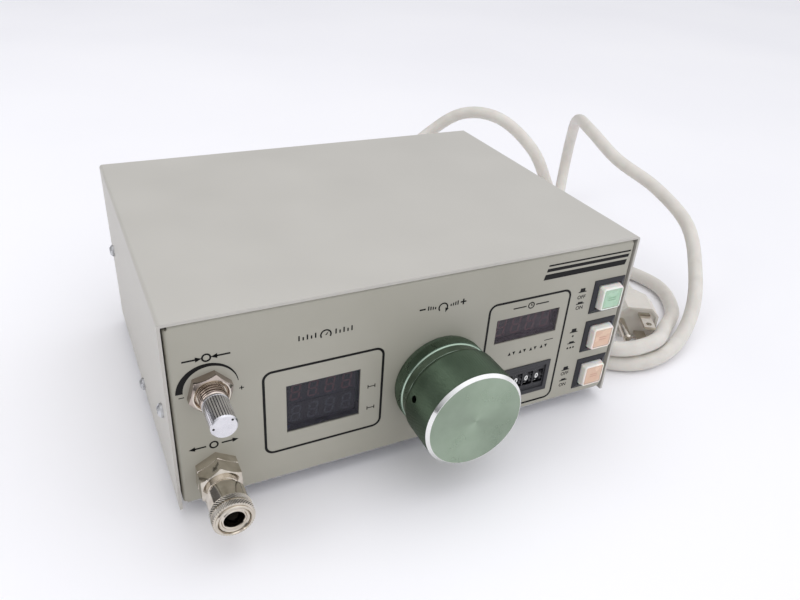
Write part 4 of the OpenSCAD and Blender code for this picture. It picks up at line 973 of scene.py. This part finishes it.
def vacuum_dots():
    """Two dots on the end of the vacuum knob"""
    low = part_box("vacuum_knob")[0]
    axis = middle_of("vacuum_knob")
    shapes = []
    for deg in (178, 42):
        cx, cz = around(axis.x, axis.z, 3.9 * MM, deg)
        shapes.append(slab(ring_points(cx, cz, 0.45 * MM, 20), low.y - ink_t, low.y))
    mesh_piece("vacuum_knob_dots", joined(shapes), [ink], "vacuum_knob")


def make_vacuum_nut():
    """Hexagon nut, dished at its front"""
    r, y0, y1 = size_of("vacuum_nut")
    flats = 2 * r
    bore, bore_chamfer, dish_y = 5.25 * MM, 0.25 * MM, y0 + 0.9 * MM
    count = 180
    rows = plain_rows([(bore, y1), (bore, dish_y), (bore + bore_chamfer, dish_y),
                       (flats * 0.44, y0 + 0.02 * MM)], count)
    rows += hex_rows(flats, y0, y1, flats * 0.47, 1.375, count, math.radians(16))
    shape, rows_of = turned_ring(rows, middle_of("vacuum_nut"))
    nut = mesh_piece("dished_nut", shape, [rose_nickel, nickel], "case",
                     [int(row < 4) for row in rows_of])
    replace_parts(nut, "vacuum_nut")


# The air outlet: its nut, the coupler's body with a hexagon, and the sleeve with two knurled bands
outlet_flats = 16 * MM


def make_coupler_nut():
    _, y0, y1 = size_of("coupler_nut")
    bore, turn, count = 4.85 * MM, math.radians(2), 180
    rows = plain_rows([(bore, y1), (bore, y0)], count)
    rows += hex_rows(outlet_flats, y0, y1, 7.9 * MM, 1.73, count, turn)
    shape, _ = turned_ring(rows, middle_of("coupler_nut"))
    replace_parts(mesh_piece("outlet_nut", shape, [nickel], "case"), "coupler_nut")


def make_coupler_body():
    """From the bore out to the barrel, then back over hexagon, tail, nut and tail, in millimetres"""
    y0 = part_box("coupler_body")[0].y
    count = 180
    tail_r, tail_end = 4.8, 40.9
    hex_front, hex_back = 17.4, 23.9
    back_nut_front, back_nut_back, back_nut_flats = 29.4, 32.4, 14
    turned_mm = [(2, tail_end), (2, 16.4), (3.6, 16.4), (3.6, 9), (3.9, 9), (3.9, 0.4), (4.1, 0.1), (4.5, 0),
                 (4.9, 0.35), (5.5, 0.3), (5.8, 0), (6.1, 0.3), (6.1, 15.2), (5.8, 15.4), (5.8, 16.1),
                 (6.1, 16.3), (6.1, hex_front)]

    def rows_at(places_mm):
        return plain_rows([(r * MM, y0 + y * MM) for r, y in places_mm], count)

    rows = rows_at(turned_mm)
    rows += hex_rows(outlet_flats, y0 + hex_front * MM, y0 + hex_back * MM, 7.6 * MM, 1.73, count)
    rows += rows_at([(tail_r, hex_back), (tail_r, back_nut_front)])
    rows += [(y0 + y * MM, hexagon(back_nut_flats * MM, count)) for y in (back_nut_front, back_nut_back)]
    rows += rows_at([(tail_r, back_nut_back), (tail_r, tail_end)])
    shape, rows_of = turned_ring(rows, middle_of("coupler_body"))
    # The bore's rows take the black finish, a painted shade inside the bore
    body = mesh_piece("outlet_body", shape, [nickel, black_oxide_and_bore_shade], "case",
                      [int(row < 4) for row in rows_of])
    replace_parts(body, "coupler_body")


def make_sleeve():
    r, y0, y1 = size_of("coupler_sleeve")
    inner, knurl_deep = 6.2 * MM, 0.5 * MM
    count, tooth = 184, (1, 0.5, 0, 0.5)
    band_long = (y1 - y0 - MM) / 6
    first = y0 + MM
    front = stepped(inner, y0, [(0, 0.5), (-0.2, 0), (-0.7, 0), (-0.95, 0.3), (-0.95, 0.7)])
    rows = plain_rows([(inner, y1)] + front + stepped(r, y0, [(0.8, 0.75)]), count)
    knurl_from = len(rows)
    rows += knurl_rows(r, knurl_deep, first, first + band_long, count, tooth, 1)
    knurl_to = len(rows)
    between = [(r - knurl_deep, first + part * band_long) for part in (1.06, 1.3)]
    rows += plain_rows(between, count)
    again_from = len(rows)
    rows += knurl_rows(r, knurl_deep, first + 1.35 * band_long, first + 2.35 * band_long, count, tooth, -1)
    again_to = len(rows)
    neck = [(r - 0.45 * MM, first + 2.42 * band_long), (r - 0.6 * MM, first + 2.6 * band_long)]
    rows += plain_rows(neck + stepped(r, y1, [(0.6, -0.8), (1.3, -0.1), (1.6, 0)]), count)
    shape, rows_of = turned_ring(rows, middle_of("coupler_sleeve"))
    knurled = [knurl_from <= row < knurl_to - 1 or again_from <= row < again_to - 1 for row in rows_of]
    sleeve = mesh_piece("knurled_sleeve", shape, [nickel, knurled_nickel], "coupler_sleeve",
                        [int(k) for k in knurled])
    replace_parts(sleeve, "coupler_sleeve")


drill_set_screw_hole(make_knob())
make_lock_ring()
make_vacuum_knob()
make_vacuum_nut()
make_coupler_nut()
make_coupler_body()
make_sleeve()


# Button caps: a pale rim with cut corners round a tinted face
def cut_square(wide, cut):
    h = wide / 2
    return [(h, cut - h), (h, h - cut), (h - cut, h), (cut - h, h),
            (-h, h - cut), (-h, cut - h), (cut - h, -h), (h - cut, -h)]


def lofted(sections, centre):
    """Closed skin through sections, each (y, outline) with as many points"""
    n = len(sections[0][1])
    points = [Vector((centre.x + x, y, centre.z + z)) for y, outline in sections for x, z in outline]
    faces = [list(range(n))]
    for start in range(0, (len(sections) - 1) * n, n):
        faces += [[start + i, start + (i + 1) % n, start + n + (i + 1) % n, start + n + i] for i in range(n)]
    faces.append([(len(sections) - 1) * n + i for i in range(n)])
    return points, faces


def make_cap(name, tint, pale, mark):
    node = f"{name}_button"
    low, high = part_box(node)
    centre = middle_of(node)
    wide, front = high.x - low.x, low.y
    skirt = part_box(f"{name}_housing")[0].y - 0.4 * MM
    skirt_end = skirt + 8 * MM
    # How far each section lies behind the front, is narrower than the cap, and is cut at its corners
    face_mm = [(0, 3.0, 0.25), (0.12, 2.9, 0.25), (0.12, 2.5, 0.3), (0, 2.4, 0.3), (0, 1.5, 0.7),
               (0.1, 0.8, 0.9), (0.5, 0.4, 1.0)]
    sections = [(front + behind * MM, cut_square(wide - narrower * MM, cut * MM))
                for behind, narrower, cut in face_mm]
    full, stem = cut_square(wide, 0.7 * MM), cut_square(5 * MM, 0.4 * MM)
    sections += [(skirt, full), (skirt_end, full), (skirt_end, stem), (high.y, stem)]
    finishes = [tint, white_lens, lens_edge, pale]
    of_ring = [0, 2, 2, 3, 1, 1, 1, 1, 1, 1]
    picks = [0] + [of_ring[i // len(full)] for i in range((len(sections) - 1) * len(full))] + [1]
    cap = mesh_piece(f"{name}_cap", lofted(sections, centre), finishes, node, picks)
    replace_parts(cap, node)
    half, line, mark_t = 2.2 * MM, 0.6 * MM, 0.03 * MM
    bars = [slab(rectangle(centre.x - half, centre.x + half, z, z + line), front - mark_t, front)
            for z in (centre.z + 0.3 * MM, centre.z - 0.9 * MM)]
    mesh_piece(f"{name}_cap_mark", joined(bars), [mark], node)


make_cap("power", green_lens, pale_green, green_mark)
make_cap("mode", peach_lens, pale_peach, peach_mark)
make_cap("shot", peach_lens, pale_peach, peach_mark)
vacuum_dots()


def soften(name, width_mm, steps):
    """Rounds the edges of a moulded solid a little, as the real piece's are"""
    weld = nodes[name].modifiers.new("weld", "WELD")
    weld.merge_threshold = 0.001 * MM
    edge = nodes[name].modifiers.new("edge", "BEVEL")
    edge.width = width_mm * MM
    edge.segments = steps
    edge.limit_method = "ANGLE"
    edge.angle_limit = math.radians(35)


for name in ("power_housing", "mode_housing", "shot_housing"):
    soften(name, 0.8, 1)
soften("thumbwheel_housing", 0.3, 2)


# Floor, light and backdrop
def make_floor():
    """Smooth white table top"""
    reach = 4.0
    mesh = bpy.data.meshes.new("floor")
    mesh.from_pydata([(x, y, 0) for x, y in rectangle(-reach, reach, -reach, reach)], [], [(0, 1, 2, 3)])
    floor = bpy.data.objects.new("floor", mesh)
    bpy.context.scene.collection.objects.link(floor)
    finish, tree, shader = new_finish("white_laminate", IOR=1.45)
    ground(tree, shader, ("#F8F7FA", "#FBFAFC"), 400, (0.55, 0.65), 3, 0.001)
    mesh.materials.append(finish)


def make_world(low, high, main_way):
    """Soft light that is stronger from one side, seen as white by the eye and through glass"""
    world = bpy.data.worlds.new("studio")
    world.use_nodes = True
    bpy.context.scene.world = world
    tree = world.node_tree
    tree.nodes.clear()
    path = add(tree, "LightPath").outputs
    seen = add(tree, "Math", {0: path["Is Camera Ray"], 1: path["Is Transmission Ray"]}, operation="MAXIMUM")
    way = add(tree, "TexCoord").outputs["Generated"]
    share = add(tree, "VectorMath", {0: way, 1: main_way}, operation="DOT_PRODUCT").outputs["Value"]
    level = add(tree, "MapRange", {"Value": share, "From Min": -0.1, "From Max": 0.85,
                                   "To Min": low, "To Max": high})
    light = add(tree, "Background", {"Color": linear("#F6F7FB"), "Strength": level.outputs["Result"]})
    white = add(tree, "Background", {"Color": linear("#FAFAFD"), "Strength": 1.0})
    mixed = add(tree, "MixShader", {0: seen.outputs[0], 1: light.outputs[0], 2: white.outputs[0]})
    add(tree, "OutputWorld", {"Surface": mixed.outputs[0]})


def soft_lamp(name, at, wide, watts):
    """Square lamp that faces the object"""
    towards = Vector((0, 0, 0.05))
    data = bpy.data.lights.new(name, "AREA")
    data.shape = "SQUARE"
    data.size = wide
    data.energy = watts
    lamp = bpy.data.objects.new(name, data)
    lamp.location = at
    lamp.rotation_mode = "QUATERNION"
    lamp.rotation_quaternion = (towards - Vector(at)).to_track_quat("-Z", "Y")
    bpy.context.scene.collection.objects.link(lamp)


make_floor()
make_world(0.15, 1.3, (0.45, -0.4, 0.8))
soft_lamp("lamp_over", (0.1, 0.15, 1.3), 1.2, 2.5)
soft_lamp("lamp_left", (-1.2, 0.1, 0.7), 0.8, 4.5)
bpy.context.scene.view_settings.view_transform = "Standard"
